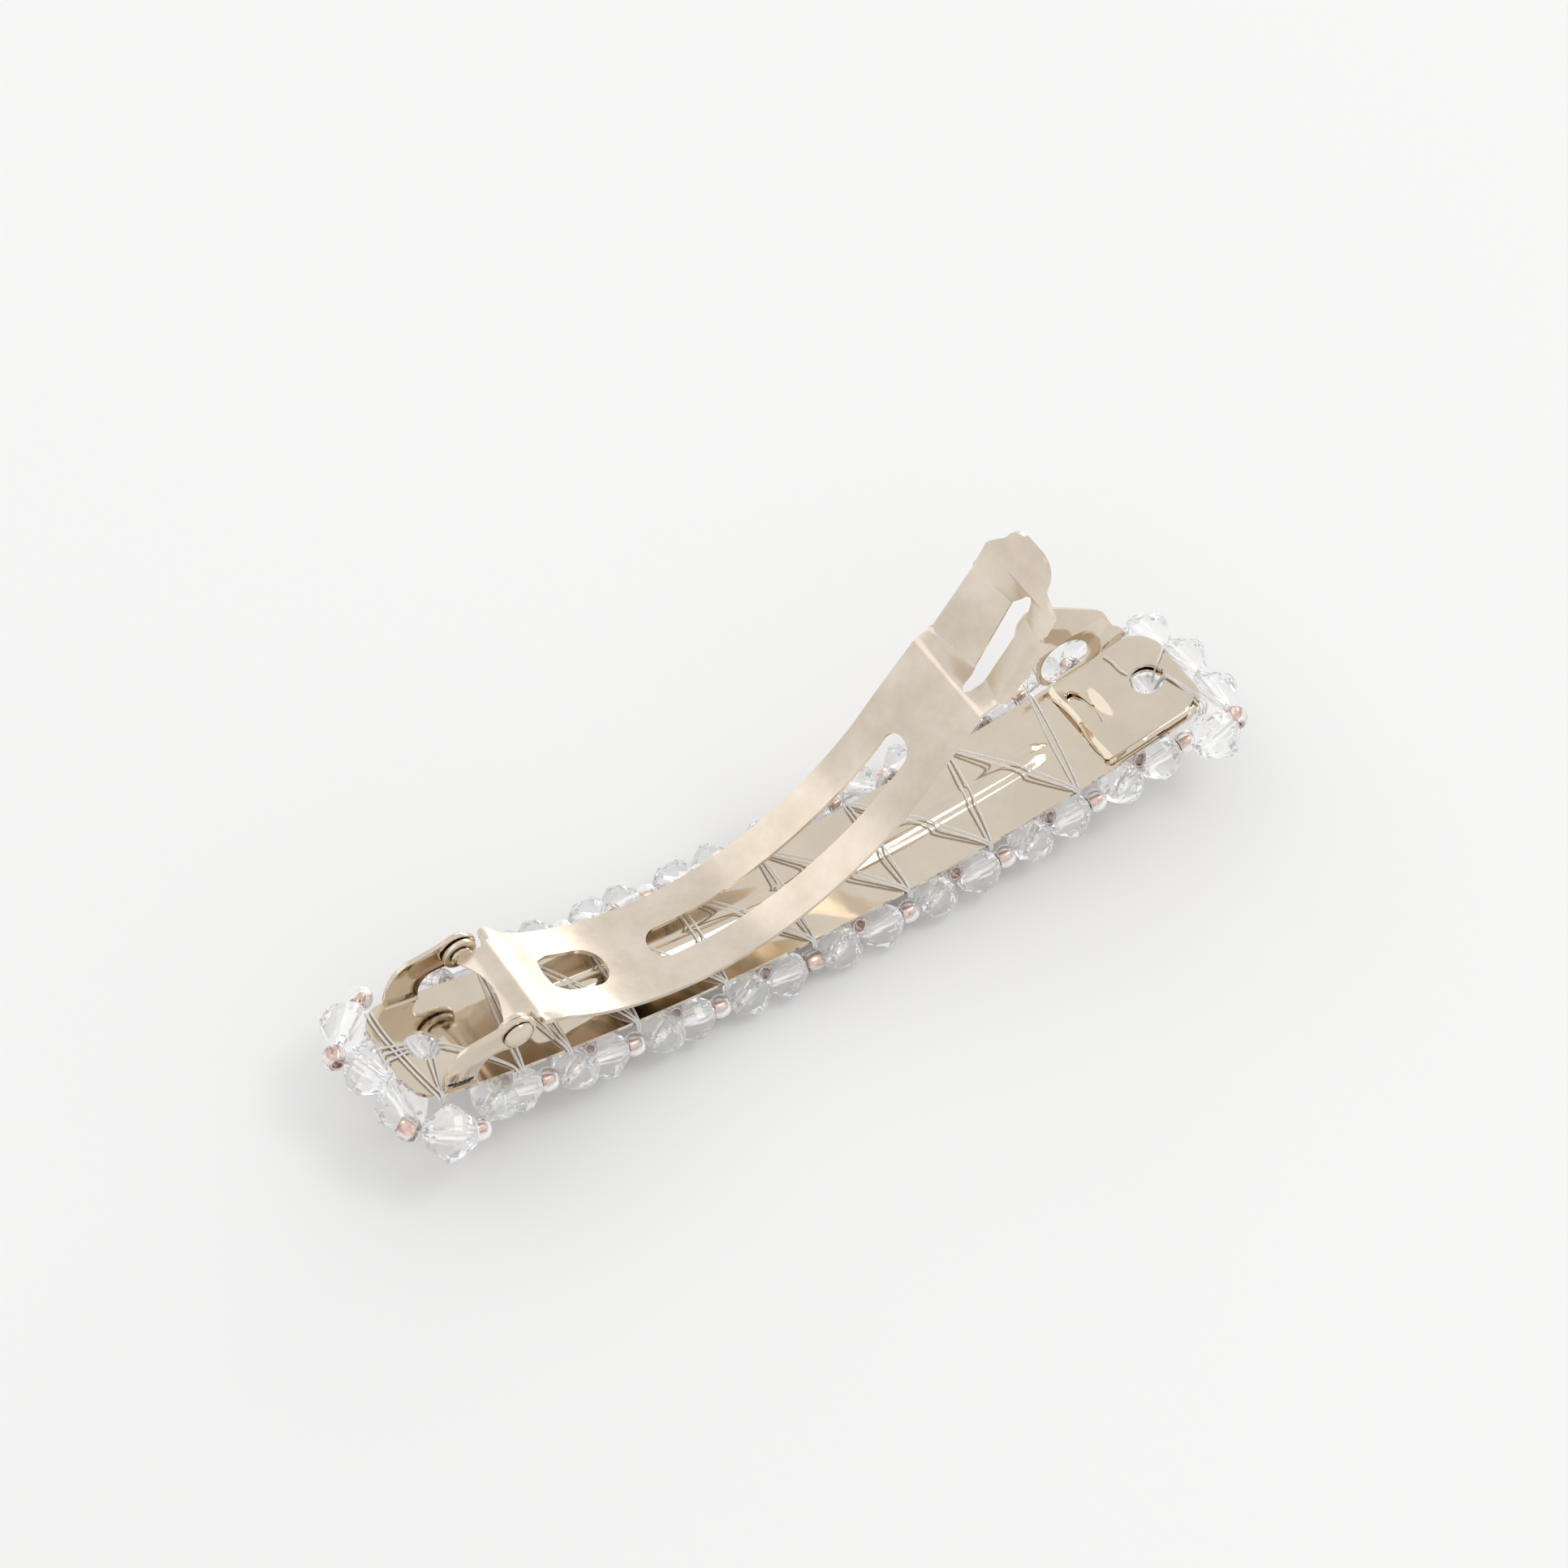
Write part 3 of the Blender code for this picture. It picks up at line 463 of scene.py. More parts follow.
def tube_into(bm, path, radius):
    """Add a round line along a path, a little thinner at its two ends."""
    side = None
    rings = []
    for i, p in enumerate(path):
        a = path[max(i - 1, 0)]
        b = path[min(i + 1, len(path) - 1)]
        d = (b - a).normalized()
        ref = side if side is not None else Vector((0.31, 0.12, 0.94))
        side = (ref - d * ref.dot(d)).normalized()
        other = d.cross(side)
        r = radius * (0.55 if i in (0, len(path) - 1) else 1.0)
        turns = (2 * math.pi * k / LINE_SIDES for k in range(LINE_SIDES))
        rings.append([bm.verts.new(p + r * (math.cos(turn) * side + math.sin(turn) * other))
                      for turn in turns])
    bm.faces.new(rings[0])
    bm.faces.new(list(reversed(rings[-1])))
    for a, b in zip(rings, rings[1:]):
        for k in range(LINE_SIDES):
            n = (k + 1) % LINE_SIDES
            bm.faces.new((a[k], a[n], b[n], b[k]))


# ---- camera, floor and light ----
def toward(azimuth, elevation, distance=1.0):
    """Point at a distance from the origin; the angles are in radians."""
    flat = math.cos(elevation)
    return Vector((flat * math.cos(azimuth), flat * math.sin(azimuth),
                   math.sin(elevation))) * distance


def build_camera():
    back = toward(CAMERA_AZIMUTH, CAMERA_ELEVATION)
    right = Vector((-math.sin(CAMERA_AZIMUTH), math.cos(CAMERA_AZIMUTH), 0.0))
    up = back.cross(right)
    turned_right = right * math.cos(CAMERA_ROLL) + up * math.sin(CAMERA_ROLL)
    turned_up = up * math.cos(CAMERA_ROLL) - right * math.sin(CAMERA_ROLL)
    centre = (back * CAMERA_DISTANCE + turned_right * CAMERA_SHIFT[0]
              + turned_up * CAMERA_SHIFT[1])
    data = bpy.data.cameras.new("camera")
    data.sensor_width = SENSOR_WIDTH
    data.lens = FOCAL_LENGTH
    data.clip_start = 0.01
    camera = bpy.data.objects.new("camera", data)
    turn = Matrix((turned_right, turned_up, back)).transposed()
    camera.matrix_world = Matrix.Translation(row(centre)) @ turn.to_4x4()
    bpy.context.scene.collection.objects.link(camera)
    bpy.context.scene.camera = camera


def build_floor():
    """Pale matt floor, in metres."""
    bm = bmesh.new()
    bmesh.ops.create_grid(bm, x_segments=2, y_segments=2, size=1.5)
    mesh = bpy.data.meshes.new("floor")
    bm.to_mesh(mesh)
    bm.free()
    floor = bpy.data.objects.new("floor", mesh)
    bpy.context.scene.collection.objects.link(floor)
    mat, nodes, links, shader = new_material("pale_floor")
    shader.inputs["Base Color"].default_value = (0.90, 0.90, 0.90, 1.0)
    shader.inputs["Roughness"].default_value = 0.9
    shader.inputs["Specular IOR Level"].default_value = 0.0
    mesh.materials.append(mat)


def build_lamp(name, azimuth, elevation, distance, size, energy, colour):
    """Soft rectangular lamp that faces the origin; angles in degrees, lengths in metres."""
    place = toward(math.radians(azimuth), math.radians(elevation), distance)
    light = bpy.data.lights.new(name, "AREA")
    light.shape = "RECTANGLE"
    light.size = size[0]
    light.size_y = size[1]
    light.energy = energy
    light.color = colour
    obj = bpy.data.objects.new(name, light)
    obj.location = place
    obj.rotation_mode = "QUATERNION"
    obj.rotation_quaternion = (-place).to_track_quat("-Z", "Y")
    bpy.context.scene.collection.objects.link(obj)


def build_studio():
    """Three lamps in a near-white room that is a shade darker halfway up."""
    build_lamp("key_softbox", -32, 62, 0.9, (0.30, 0.30), 0.85, (1.0, 0.99, 0.97))
    build_lamp("cream_softbox", 136, 47, 1.2, (0.80, 0.80), 0.8, (1.0, 0.97, 0.93))
    build_lamp("low_card", 35, 12, 1.2, (1.2, 0.5), 2.8, (1.0, 0.98, 0.95))
    world = bpy.data.worlds.new("studio")
    bpy.context.scene.world = world
    world.use_nodes = True
    nodes, links = world.node_tree.nodes, world.node_tree.links
    place = nodes.new("ShaderNodeTexCoord")
    split = nodes.new("ShaderNodeSeparateXYZ")
    links.new(place.outputs["Generated"], split.inputs["Vector"])
    tones = ((0.0, (1.0, 1.0, 1.0)), (0.5, (0.97, 0.97, 0.97)), (1.0, (1.0, 1.0, 1.0)))
    sky = ramp(nodes, links, split.outputs["Z"], tones)
    links.new(sky, nodes["Background"].inputs["Color"])
    nodes["Background"].inputs["Strength"].default_value = 0.88
    bpy.context.scene.view_settings.view_transform = "Standard"


# ---- bar ----
def rib(x, y):
    """Height of the stiffening rib: a soft roll that runs out at its ends."""
    reach = RIB_HALF_LENGTH - abs(x)
    if abs(y) >= RIB_HALF_WIDTH or reach <= 0:
        return 0.0
    width = RIB_HALF_WIDTH * math.sin(min(1.0, reach / RIB_TAPER) * math.pi / 2)
    if abs(y) >= width:
        return 0.0
    height = RIB_HEIGHT * min(1.0, reach / RIB_RUNOUT)
    return height * (0.5 + 0.5 * math.cos(math.pi * y / width))


def build_bar():
    """Curved strip with its rib and two end holes, and the two hinge ears at its edges."""
    shares = (0, 0.04, 0.08, 0.12, 0.16, 0.20, 0.24, 0.285, 0.36, 0.5, 0.7, 0.86, 0.95, 1)
    stops = even_stops(-BAR_HALF_LENGTH, BAR_HALF_LENGTH, 0.7)
    for side in (-1, 1):
        stops += round_stops(side * END_HOLE_X, END_HOLE_RADIUS, 20)
        edge = BAR_HALF_LENGTH - BAR_CORNER
        stops += [side * (edge + BAR_CORNER * math.sin(math.pi * k / 24)) for k in range(13)]

    def sides(x):
        w = BAR_HALF_WIDTH
        past = abs(x) - (BAR_HALF_LENGTH - BAR_CORNER)
        if past > 0:
            w += half_round(past, 0.0, BAR_CORNER) - BAR_CORNER
        h = max(half_round(x, END_HOLE_X, END_HOLE_RADIUS),
                half_round(x, -END_HOLE_X, END_HOLE_RADIUS))
        return [[side * (h + (w - h) * f) for f in shares] for side in (-1, 1)]

    def surface(x, y):
        return Vector((x, y, bar_z(x) - SHEET / 2 + rib(x, y)))

    bm = sheet_bmesh(merged(stops), sides, surface)
    bar = finish_mesh("bar_sheet", bm, [BRIGHT])
    thicken(bar, (0, 0, 1))
    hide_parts("base_bar")
    for side, label in SIDES:
        y = side * (EAR_INNER_Y + SHEET / 2)
        hole = circle(PIVOT_X, PIVOT_Z, EAR_HOLE_RADIUS, 28)
        upright = Matrix.Translation((0, y, 0)) @ Matrix.Rotation(math.pi / 2, 4, "X")
        flat_piece("hinge_ear_" + label, rounded_outline(EAR_OUTLINE), [hole], upright, "bar",
                   BRIGHT)
        build_ear_bend(side, label)


def build_ear_bend(side, label):
    """Rounded fold where an ear stands up from the bar's edge."""
    radius = EAR_FOLD_RADIUS
    start = EAR_INNER_Y - radius + SHEET / 2
    bm = bmesh.new()
    rows = []
    for x in even_stops(*EAR_FOLD_X, 0.4):
        base = bar_z(x) - SHEET / 2
        turns = (math.pi * k / 12 for k in range(7))
        fold = [bm.verts.new((x, side * (start + radius * math.sin(a)),
                              base + radius * (1 - math.cos(a)))) for a in turns]
        top = fold[-1].co
        fold.append(bm.verts.new((top.x, top.y, top.z + EAR_FOLD_STEM)))
        rows.append(fold)
    for a, b in zip(rows, rows[1:]):
        for j in range(len(a) - 1):
            bm.faces.new((a[j], a[j + 1], b[j + 1], b[j]))
    bend = finish_mesh("ear_fold_" + label, bm, [BRIGHT])
    thicken(bend, (0, -side, 0.2))


def circle(x, y, radius, count):
    """Points round a circle."""
    return [(x + radius * math.cos(a), y + radius * math.sin(a))
            for a in (math.tau * k / count for k in range(count))]


def rounded_outline(points, radius_share=0.42, steps=4):
    """Closed outline with every corner rounded by a short curve."""
    out = []
    count = len(points)
    for i in range(count):
        p = Vector(points[i])
        before = Vector(points[i - 1])
        after = Vector(points[(i + 1) % count])
        a = p.lerp(before, radius_share)
        b = p.lerp(after, radius_share)
        for k in range(steps + 1):
            t = k / steps
            out.append((1 - t) ** 2 * a + 2 * t * (1 - t) * p + t * t * b)
    return out


def flat_piece(name, outline, holes, place, body, material):
    """Flat sheet-metal plate from a 2-D outline with holes, with rolled edges."""
    roll = 0.07
    curve = bpy.data.curves.new(name + "_outline", "CURVE")
    curve.dimensions = "2D"
    curve.fill_mode = "BOTH"
    curve.extrude = SHEET / 2 - roll
    curve.bevel_depth = roll
    curve.bevel_resolution = 2
    curve.offset = -roll
    for ring in [outline] + holes:
        spline = curve.splines.new("POLY")
        spline.points.add(len(ring) - 1)
        for point, p in zip(spline.points, ring):
            point.co = (p[0], p[1], 0.0, 1.0)
        spline.use_cyclic_u = True
    guide = bpy.data.objects.new(name + "_outline", curve)
    bpy.context.scene.collection.objects.link(guide)
    bpy.context.view_layer.update()
    graph = bpy.context.evaluated_depsgraph_get()
    mesh = bpy.data.meshes.new_from_object(guide.evaluated_get(graph))
    bpy.data.objects.remove(guide)
    bm = bmesh.new()
    bm.from_mesh(mesh)
    bpy.data.meshes.remove(mesh)
    bmesh.ops.remove_doubles(bm, verts=bm.verts, dist=1e-4)
    bm.transform(place)
    return finish_mesh(name, bm, [material], sharp=28.0, body=body)


def build_studs():
    """Hinge rivets: a domed head outside the ear and a shank through it."""
    for side, label in SIDES:
        place = (Matrix.Translation((PIVOT_X, 0, PIVOT_Z))
                 @ Matrix.Rotation(-side * math.pi / 2, 4, "X"))
        under, rim = STUD_HEAD_Y
        profile = [*STUD_PEEN, (STUD_RADIUS, STUD_PEEN_Y), (STUD_RADIUS, under),
                   (STUD_HEAD_RADIUS - 0.05, under), (STUD_HEAD_RADIUS, rim)]
        for k in range(1, 9):
            a = k * math.pi / 18
            profile.append((STUD_HEAD_RADIUS * math.cos(a), rim + STUD_DOME * math.sin(a)))
        bm = bmesh.new()
        lathe_into(bm, profile, place, 40)
        stud = finish_mesh("rivet_" + label, bm, [BRIGHT], sharp=40, body="arm_root")
        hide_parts("hinge_stud_" + label)


# ---- clasp arm ----
def arm_path():
    """Dense side profile of the arm's mid sheet with its lengths: hinge lip to thumb tab."""
    bow = smooth_path([(x, 0, z) for x, z in ARM_PROFILE], 0.35)
    corners = [bow[-1]] + [Vector((x, 0, z)) for x, z in LATCH_PROFILE]
    path = bow[:-2]
    before = bow[-3]
    for i, corner in enumerate(corners[:-1]):
        after = corners[i + 1]
        reach = min(LATCH_FOLD, (corner - before).length * 0.45,
                    (after - corner).length * 0.45)
        a = corner + (before - corner).normalized() * reach
        b = corner + (after - corner).normalized() * reach
        for k in range(6):
            t = k / 5
            path.append((1 - t) ** 2 * a + 2 * t * (1 - t) * corner + t * t * b)
        gap = (after - corner).length
        for k in range(1, max(2, round(gap / 0.5))):
            t = reach / gap + (1 - 2 * reach / gap) * k / round(max(2, gap / 0.5))
            path.append(corner.lerp(after, t))
        before = corner
    path.append(corners[-1])
    lengths = [0.0]
    for a, b in zip(path, path[1:]):
        lengths.append(lengths[-1] + (b - a).length)
    return path, lengths


PATH, LENGTHS = arm_path()


def along_arm(s):
    """Point and upward normal of the arm's profile at length s."""
    s = min(max(s, 0.0), LENGTHS[-1] - 1e-6)
    low, high = 0, len(LENGTHS) - 1
    while high - low > 1:
        middle = (low + high) // 2
        if LENGTHS[middle] <= s:
            low = middle
        else:
            high = middle
    span = max(1e-9, LENGTHS[high] - LENGTHS[low])
    t = (s - LENGTHS[low]) / span
    point = PATH[low].lerp(PATH[high], t)
    a = PATH[max(low - 1, 0)].lerp(PATH[low], t)
    b = PATH[high].lerp(PATH[min(high + 1, len(PATH) - 1)], t)
    d = (b - a).normalized()
    return point, Vector((-d.z, 0, d.x))


def length_at(x):
    """Length along the profile where it first reaches x."""
    for i in range(len(PATH) - 1):
        if PATH[i].x <= x <= PATH[i + 1].x:
            t = (x - PATH[i].x) / max(1e-9, PATH[i + 1].x - PATH[i].x)
            return LENGTHS[i] + (LENGTHS[i + 1] - LENGTHS[i]) * t
    return LENGTHS[-1]


def between(stops, s):
    """Straight-line reading of a short list of (length, value) stops."""
    for (s0, v0), (s1, v1) in zip(stops, stops[1:]):
        if s <= s1:
            return v0 + (v1 - v0) * max(0.0, s - s0) / (s1 - s0)
    return stops[-1][1]


def build_arm():
    """The whole clasp arm as one sheet, fitted to its outline, slots and folds."""
    shoulder = length_at(SHOULDER_X)
    parallel = length_at(PARALLEL_X)
    small0, small1 = length_at(SMALL_SLOT[0]), length_at(SMALL_SLOT[1])
    long0, long1 = length_at(LONG_SLOT[0]), length_at(LONG_SLOT[1])
    kink = length_at(ARM_PROFILE[-1][0])
    latch0, latch1, root = (length_at(x) for x, z in LATCH_PROFILE[:3])
    end = LENGTHS[-1]
    box0, box1 = kink + BOX_SLOT_MARGIN, root - BOX_SLOT_MARGIN
    small_r, long_r = SMALL_SLOT[2], LONG_SLOT[2]
    near_edge = tuple(zip((box0, latch0, latch1, box1), BOX_SLOT_NEAR))
    far_edge = tuple(zip((box0, latch0, latch1, box1), BOX_SLOT_FAR))

    def flange(s):
        """Length of the side flange that is folded down along the latch."""
        return FLANGE_DROP * ease((s - latch0 + 0.3) / 0.8) * ease((latch1 + 0.6 - s) / 0.9)

    def half_width(s, sign):
        """Half width on the front (sign -1) or rear (sign 1) side."""
        if s < shoulder:
            step = ease((s - shoulder + 0.5) / 0.5)
            return LIP_HALF_WIDTH + (ARM_SHOULDER - LIP_HALF_WIDTH) * step
        if s < parallel:
            step = ease((s - shoulder) / (parallel - shoulder))
            return ARM_SHOULDER + (ARM_HALF_WIDTH - ARM_SHOULDER) * step
        if s < root:
            return ARM_HALF_WIDTH
        step = 1 - ease((s - root) / (TAB_SHOULDER + TAB_SKEW * sign))
        width = TAB_HALF_WIDTH + (ARM_HALF_WIDTH - TAB_HALF_WIDTH) * step
        past = s - (end - TAB_CORNER)
        if past > 0:
            width += half_round(past, 0.0, TAB_CORNER) - TAB_CORNER
        return width

    def seam(s):
        """The slots' edges nearest the front and the rear; equal where the sheet is whole."""
        if small0 <= s <= small1:
            if small1 - s < small_r:
                far = half_round(small_r - (small1 - s), 0.0, small_r)
            else:
                far = small_r - (small_r - SMALL_SLOT_START) * (1 - ease((s - small0) / 1.7))
                far -= 0.3 * max(0.0, 1 - (s - small0) / 0.3) ** 2
            return -far, far
        if long0 <= s <= long1:
            reach = min(s - long0, long1 - s, long_r)
            h = half_round(long_r - reach, 0.0, long_r)
            return -h, h
        if box0 <= s <= box1:
            near, far = between(near_edge, s), between(far_edge, s)
            open_share = math.sqrt(min(1.0, min(s - box0, box1 - s) / BOX_SLOT_CORNER))
            middle = (near + far) / 2
            return middle + (near - middle) * open_share, middle + (far - middle) * open_share
        if s < long1:
            c = 0.0
        elif s < box0:
            c = (near_edge[0][1] + far_edge[0][1]) / 2 * ease((s - long1) / (box0 - long1))
        else:
            c = (near_edge[3][1] + far_edge[3][1]) / 2 * (1 - ease((s - box1) / (end - box1)))
        return c, c

    shares = (0, 0.06, 0.2, 0.4, 0.6, 0.8, 0.94, 1)
    bends = (0.0, 0.25, 0.5, 0.75, 1.0)
    quarter = FLANGE_BEND * math.pi / 2

    def flat_half_width(s, sign):
        return half_width(s, sign) - FLANGE_BEND * min(1.0, flange(s) / quarter)

    def sides(s):
        near, far = seam(s)
        drop = flange(s)
        runs = []
        for sign, inner in ((-1, near), (1, far)):
            w = flat_half_width(s, sign)
            run = [inner + (sign * w - inner) * f for f in shares]
            run += [sign * (w + min(drop, quarter) * f) for f in bends[1:]]
            run += [sign * (w + drop)]
            runs.append(run)
        return runs

    def dip(s, y):
        """How far the latch sinks; the bottom of the V lies a little to the front."""
        reach = BOX_EDGE - BOX_MIDDLE if y > BOX_MIDDLE else BOX_EDGE + BOX_MIDDLE
        across = max(0.0, 1 - abs(y - BOX_MIDDLE) / reach)
        start = min(1.0, max(0.0, (s - kink) / (latch0 - kink)))
        finish = min(1.0, max(0.0, (root - s) / (root - latch1)))
        return BOX_TROUGH * across * ease(start) * finish

    def surface(s, y):
        sign = 1 if y > 0 else -1
        w = flat_half_width(s, sign)
        lip = max(0.0, 1 - s / (shoulder * 0.75))
        shift = LIP_BOW * lip * max(0.0, 1 - (y / LIP_HALF_WIDTH) ** 2)
        point, normal = along_arm(s + shift)
        over = max(0.0, abs(y) - w)
        sink = 0.0
        if over > 0:
            angle = min(over, quarter) / FLANGE_BEND
            sink = FLANGE_BEND * (1 - math.cos(angle)) + max(0.0, over - quarter)
            y = sign * (w + FLANGE_BEND * math.sin(angle))
        curl = 0.0
        if shoulder - 0.2 < s < parallel:
            curl = 0.35 * ease((abs(y) - 4.3) / 1.0) * (1 - ease((s - shoulder) / 2.4))
        crown = TAB_CROWN * (1 - (y / ARM_HALF_WIDTH) ** 2) * ease((s - end + 7.5) / 2.0)
        flat = Vector((point.x, y, point.z)) + normal * (curl - sink - crown)
        return flat + Vector(BOX_SINK) * dip(s, y)

    stops = even_stops(0.0, end, 0.5)
    for centre, radius in ((small1 - small_r, small_r), (long0 + long_r, long_r),
                           (long1 - long_r, long_r)):
        stops += round_stops(centre, radius, 18)
    stops += [small0 + 0.05 * k for k in range(8)] + [small0 + 0.001]
    stops += [kink, latch0, latch1, root]
    for edge, way in ((box0, 1), (box1, -1)):
        stops += [edge + way * BOX_SLOT_CORNER * (k / 10) ** 2 for k in range(11)]
    stops += LENGTHS[-60:]      # the profile's own points round the latch's folds
    stops += [end - TAB_CORNER * (1 - math.sin(math.pi * k / 32)) for k in range(17)]
    stops += even_stops(shoulder - 0.5, shoulder, 0.08)
    stops = [s for s in merged(stops, 0.008) if 0 <= s <= end]

    bm = sheet_bmesh(stops, sides, surface)
    arm = finish_mesh("clasp_arm", bm, [SATIN], sharp=13, body=None)
    thicken(arm, (-0.3, 0, 1), edge=0.07)
    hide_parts("clasp_arm_root", "clasp_arm_tip")
    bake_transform(arm)
    build_lugs()


def build_lugs():
    """Round side lugs that turn between the ears, folded from the ends of the hinge lip."""
    for side, label in SIDES:
        outline = circle(PIVOT_X, PIVOT_Z, LUG_RADIUS, 40)
        hole = circle(PIVOT_X, PIVOT_Z, LUG_HOLE_RADIUS, 24)
        upright = Matrix.Translation((0, side * LUG_Y, 0)) @ Matrix.Rotation(math.pi / 2, 4, "X")
        flat_piece("hinge_lug_" + label, outline, [hole], upright, "arm_root", SATIN)


# ---- catch ----
def build_catch_plate():
    """Plate that lies on the bar, notched at its inner end and pierced over the bar's hole."""
    eye_x, eye_y, eye_a, eye_b = CATCH_EYE
    fold = CATCH_FOLD
    inner = CATCH_INNER_CORNER
    fold_start, fold_end = CATCH_FOLD_X

    def half_width(x):
        w = CATCH_HALF_WIDTH
        past = CATCH_CORNER - (CATCH_X1 - x)
        if past > 0:
            w += half_round(past, 0.0, CATCH_CORNER) - CATCH_CORNER
        if x < CATCH_X0 + inner:
            w -= inner - half_round(inner - (x - CATCH_X0), 0.0, inner)
        return w

    def rise(x):
        """How far the sheet turns up into the wings at x."""
        return ease((x - fold_start) / 0.8) * ease((fold_end - x) / 0.6)

    def seam(x):
        """The edges of the notch or the hole; equal where the sheet is whole."""
        if abs(x - eye_x) < eye_a:
            h = eye_b * math.sqrt(max(0.0, 1 - ((x - eye_x) / eye_a) ** 2))
            return eye_y - h, eye_y + h
        h = half_round(x, END_HOLE_X, END_HOLE_RADIUS)
        c = eye_y * (1 - ease((x - eye_x - eye_a) / 3.0))
        return c - h, c + h

    shares = (0, 0.08, 0.25, 0.5, 0.75, 0.9, 1)

    def sides(x):
        near, far = seam(x)
        w = half_width(x)
        runs = []
        for sign, start in ((-1, near), (1, far)):
            run = [start + (sign * w - start) * f for f in shares]
            run += [sign * (w + fold * rise(x) * k / 4) for k in range(1, 5)]
            runs.append(run)
        return runs

    def surface(x, y):
        w = half_width(x)
        over = max(0.0, abs(y) - w)
        lift = CATCH_LIFT - 0.26 * (1 - ease((x - CATCH_X0) / 0.55))
        lift -= 0.24 * ease((x - fold_end) / 1.4)
        arch = CATCH_ARCH * (1 - ease((x - CATCH_X0) / 1.5))
        arch *= max(0.0, 1 - ((y - eye_y) / 2.5) ** 2)
        tuck = CATCH_TUCK * (1 - ease((x - eye_x - eye_a) / 1.1)) * ease((x - eye_x) / 0.4)
        arch -= tuck * max(0.0, 1 - ((y - eye_y) / 2.8) ** 2)
        curl = 0.5 * over ** 1.5 / fold ** 0.5
        return Vector((x, y, bar_z(x) + lift + arch + curl))

    stops = even_stops(CATCH_X0, CATCH_X1, 0.35)
    stops += [eye_x - eye_a * math.cos(math.pi * k / 16) for k in range(17)]
    stops += round_stops(END_HOLE_X, END_HOLE_RADIUS, 20)
    stops += [CATCH_X1 - CATCH_CORNER + CATCH_CORNER * math.sin(math.pi * k / 24)
              for k in range(13)]
    stops += [CATCH_X0 + inner - inner * math.cos(math.pi * k / 12) for k in range(7)]
    bm = sheet_bmesh(merged(stops), sides, surface)
    floor = finish_mesh("catch_floor", bm, [BRIGHT], sharp=40)
    thicken(floor, (0, 0, 1))
    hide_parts("catch_plate")


def build_wings():
    """Flared wings at the catch's two sides, each pierced by an oval hole."""
    slope = math.atan(2 * BAR_RISE * FOLD_MIDDLE_X / BAR_HALF_LENGTH ** 2)
    base = Vector((FOLD_MIDDLE_X, 0, bar_z(FOLD_MIDDLE_X) + CATCH_LIFT))
    hx, hh, ha, hb = WING_HOLE
    window = [(hx + ha * math.cos(a), max(WING_HOLE_FLOOR, hh + hb * math.sin(a)))
              for a in (math.tau * k / 44 for k in range(44))]
    for side, label in SIDES:
        place = Matrix.Translation(base + Vector((0, side * FOLD_Y, 0)))
        place = place @ Matrix.Rotation(-slope, 4, "Y")
        place = place @ Matrix.Rotation(-side * WING_FLARE, 4, "X")
        place = place @ Matrix.Translation((-FOLD_MIDDLE_X, 0, 0))
        place = place @ Matrix.Rotation(math.pi / 2, 4, "X")
        wing = flat_piece("pinch_wing_" + label, rounded_outline(WING_OUTLINE, 0.30), [window],
                          place, "wing_" + label, BRIGHT)
        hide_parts("catch_wing_" + label)


# ---- beads ----
def bead_turn(direction, spin):
    """Turn that lays a bead's hole along a direction, with a spin about it."""
    return (Vector(direction).to_track_quat("Z", "X").to_matrix().to_4x4()
            @ Matrix.Rotation(spin, 4, "Z"))


def crystal_bmesh(size):
    """Bicone cut with triangular facets on both halves, pierced along Z."""
    bm = bmesh.new()
    radius = size / 2 + CRYSTAL_SWELL
    reach = size / 2 - 0.04
    tip, tip_flat = CRYSTAL_TIP, CRYSTAL_TIP * math.cos(math.pi / 6)
    count = CRYSTAL_SIDES
    turns = [math.tau * k / count for k in range(count)]

    def ring(height, radii):
        """Ring of points with its even and its odd points on two radii."""
        return [bm.verts.new((radii[k % 2] * math.cos(a), radii[k % 2] * math.sin(a), height))
                for k, a in enumerate(turns)]

    for half in (-1, 1):
        girdle = ring(half * CRYSTAL_BELT, (radius, radius * 0.985))
        collar = ring(half * reach * 0.93, (tip, tip_flat) if half > 0 else (tip_flat, tip))
        mouth = ring(half * reach, (CRYSTAL_HOLE + 0.08,) * 2)
        bore = ring(half * (reach - 0.07), (CRYSTAL_HOLE,) * 2)
        for a, b in ((girdle, collar), (collar, mouth), (mouth, bore)):
            for k in range(count):
                n = (k + 1) % count
                if a is girdle:
                    peak = k if (k % 2 == 0) == (half > 0) else n
                    other = n if peak == k else k
                    bm.faces.new((a[k], a[n], b[peak]))
                    bm.faces.new((b[peak], b[other], a[other]))
                else:
                    bm.faces.new((a[k], a[n], b[n], b[k]))
        if half < 0:
            low_girdle, low_bore = girdle, bore
        else:
            for k in range(count):
                n = (k + 1) % count
                bm.faces.new((low_girdle[k], low_girdle[n], girdle[n], girdle[k]))
                bm.faces.new((low_bore[k], low_bore[n], bore[n], bore[k]))
    bmesh.ops.recalc_face_normals(bm, faces=bm.faces)
    return bm


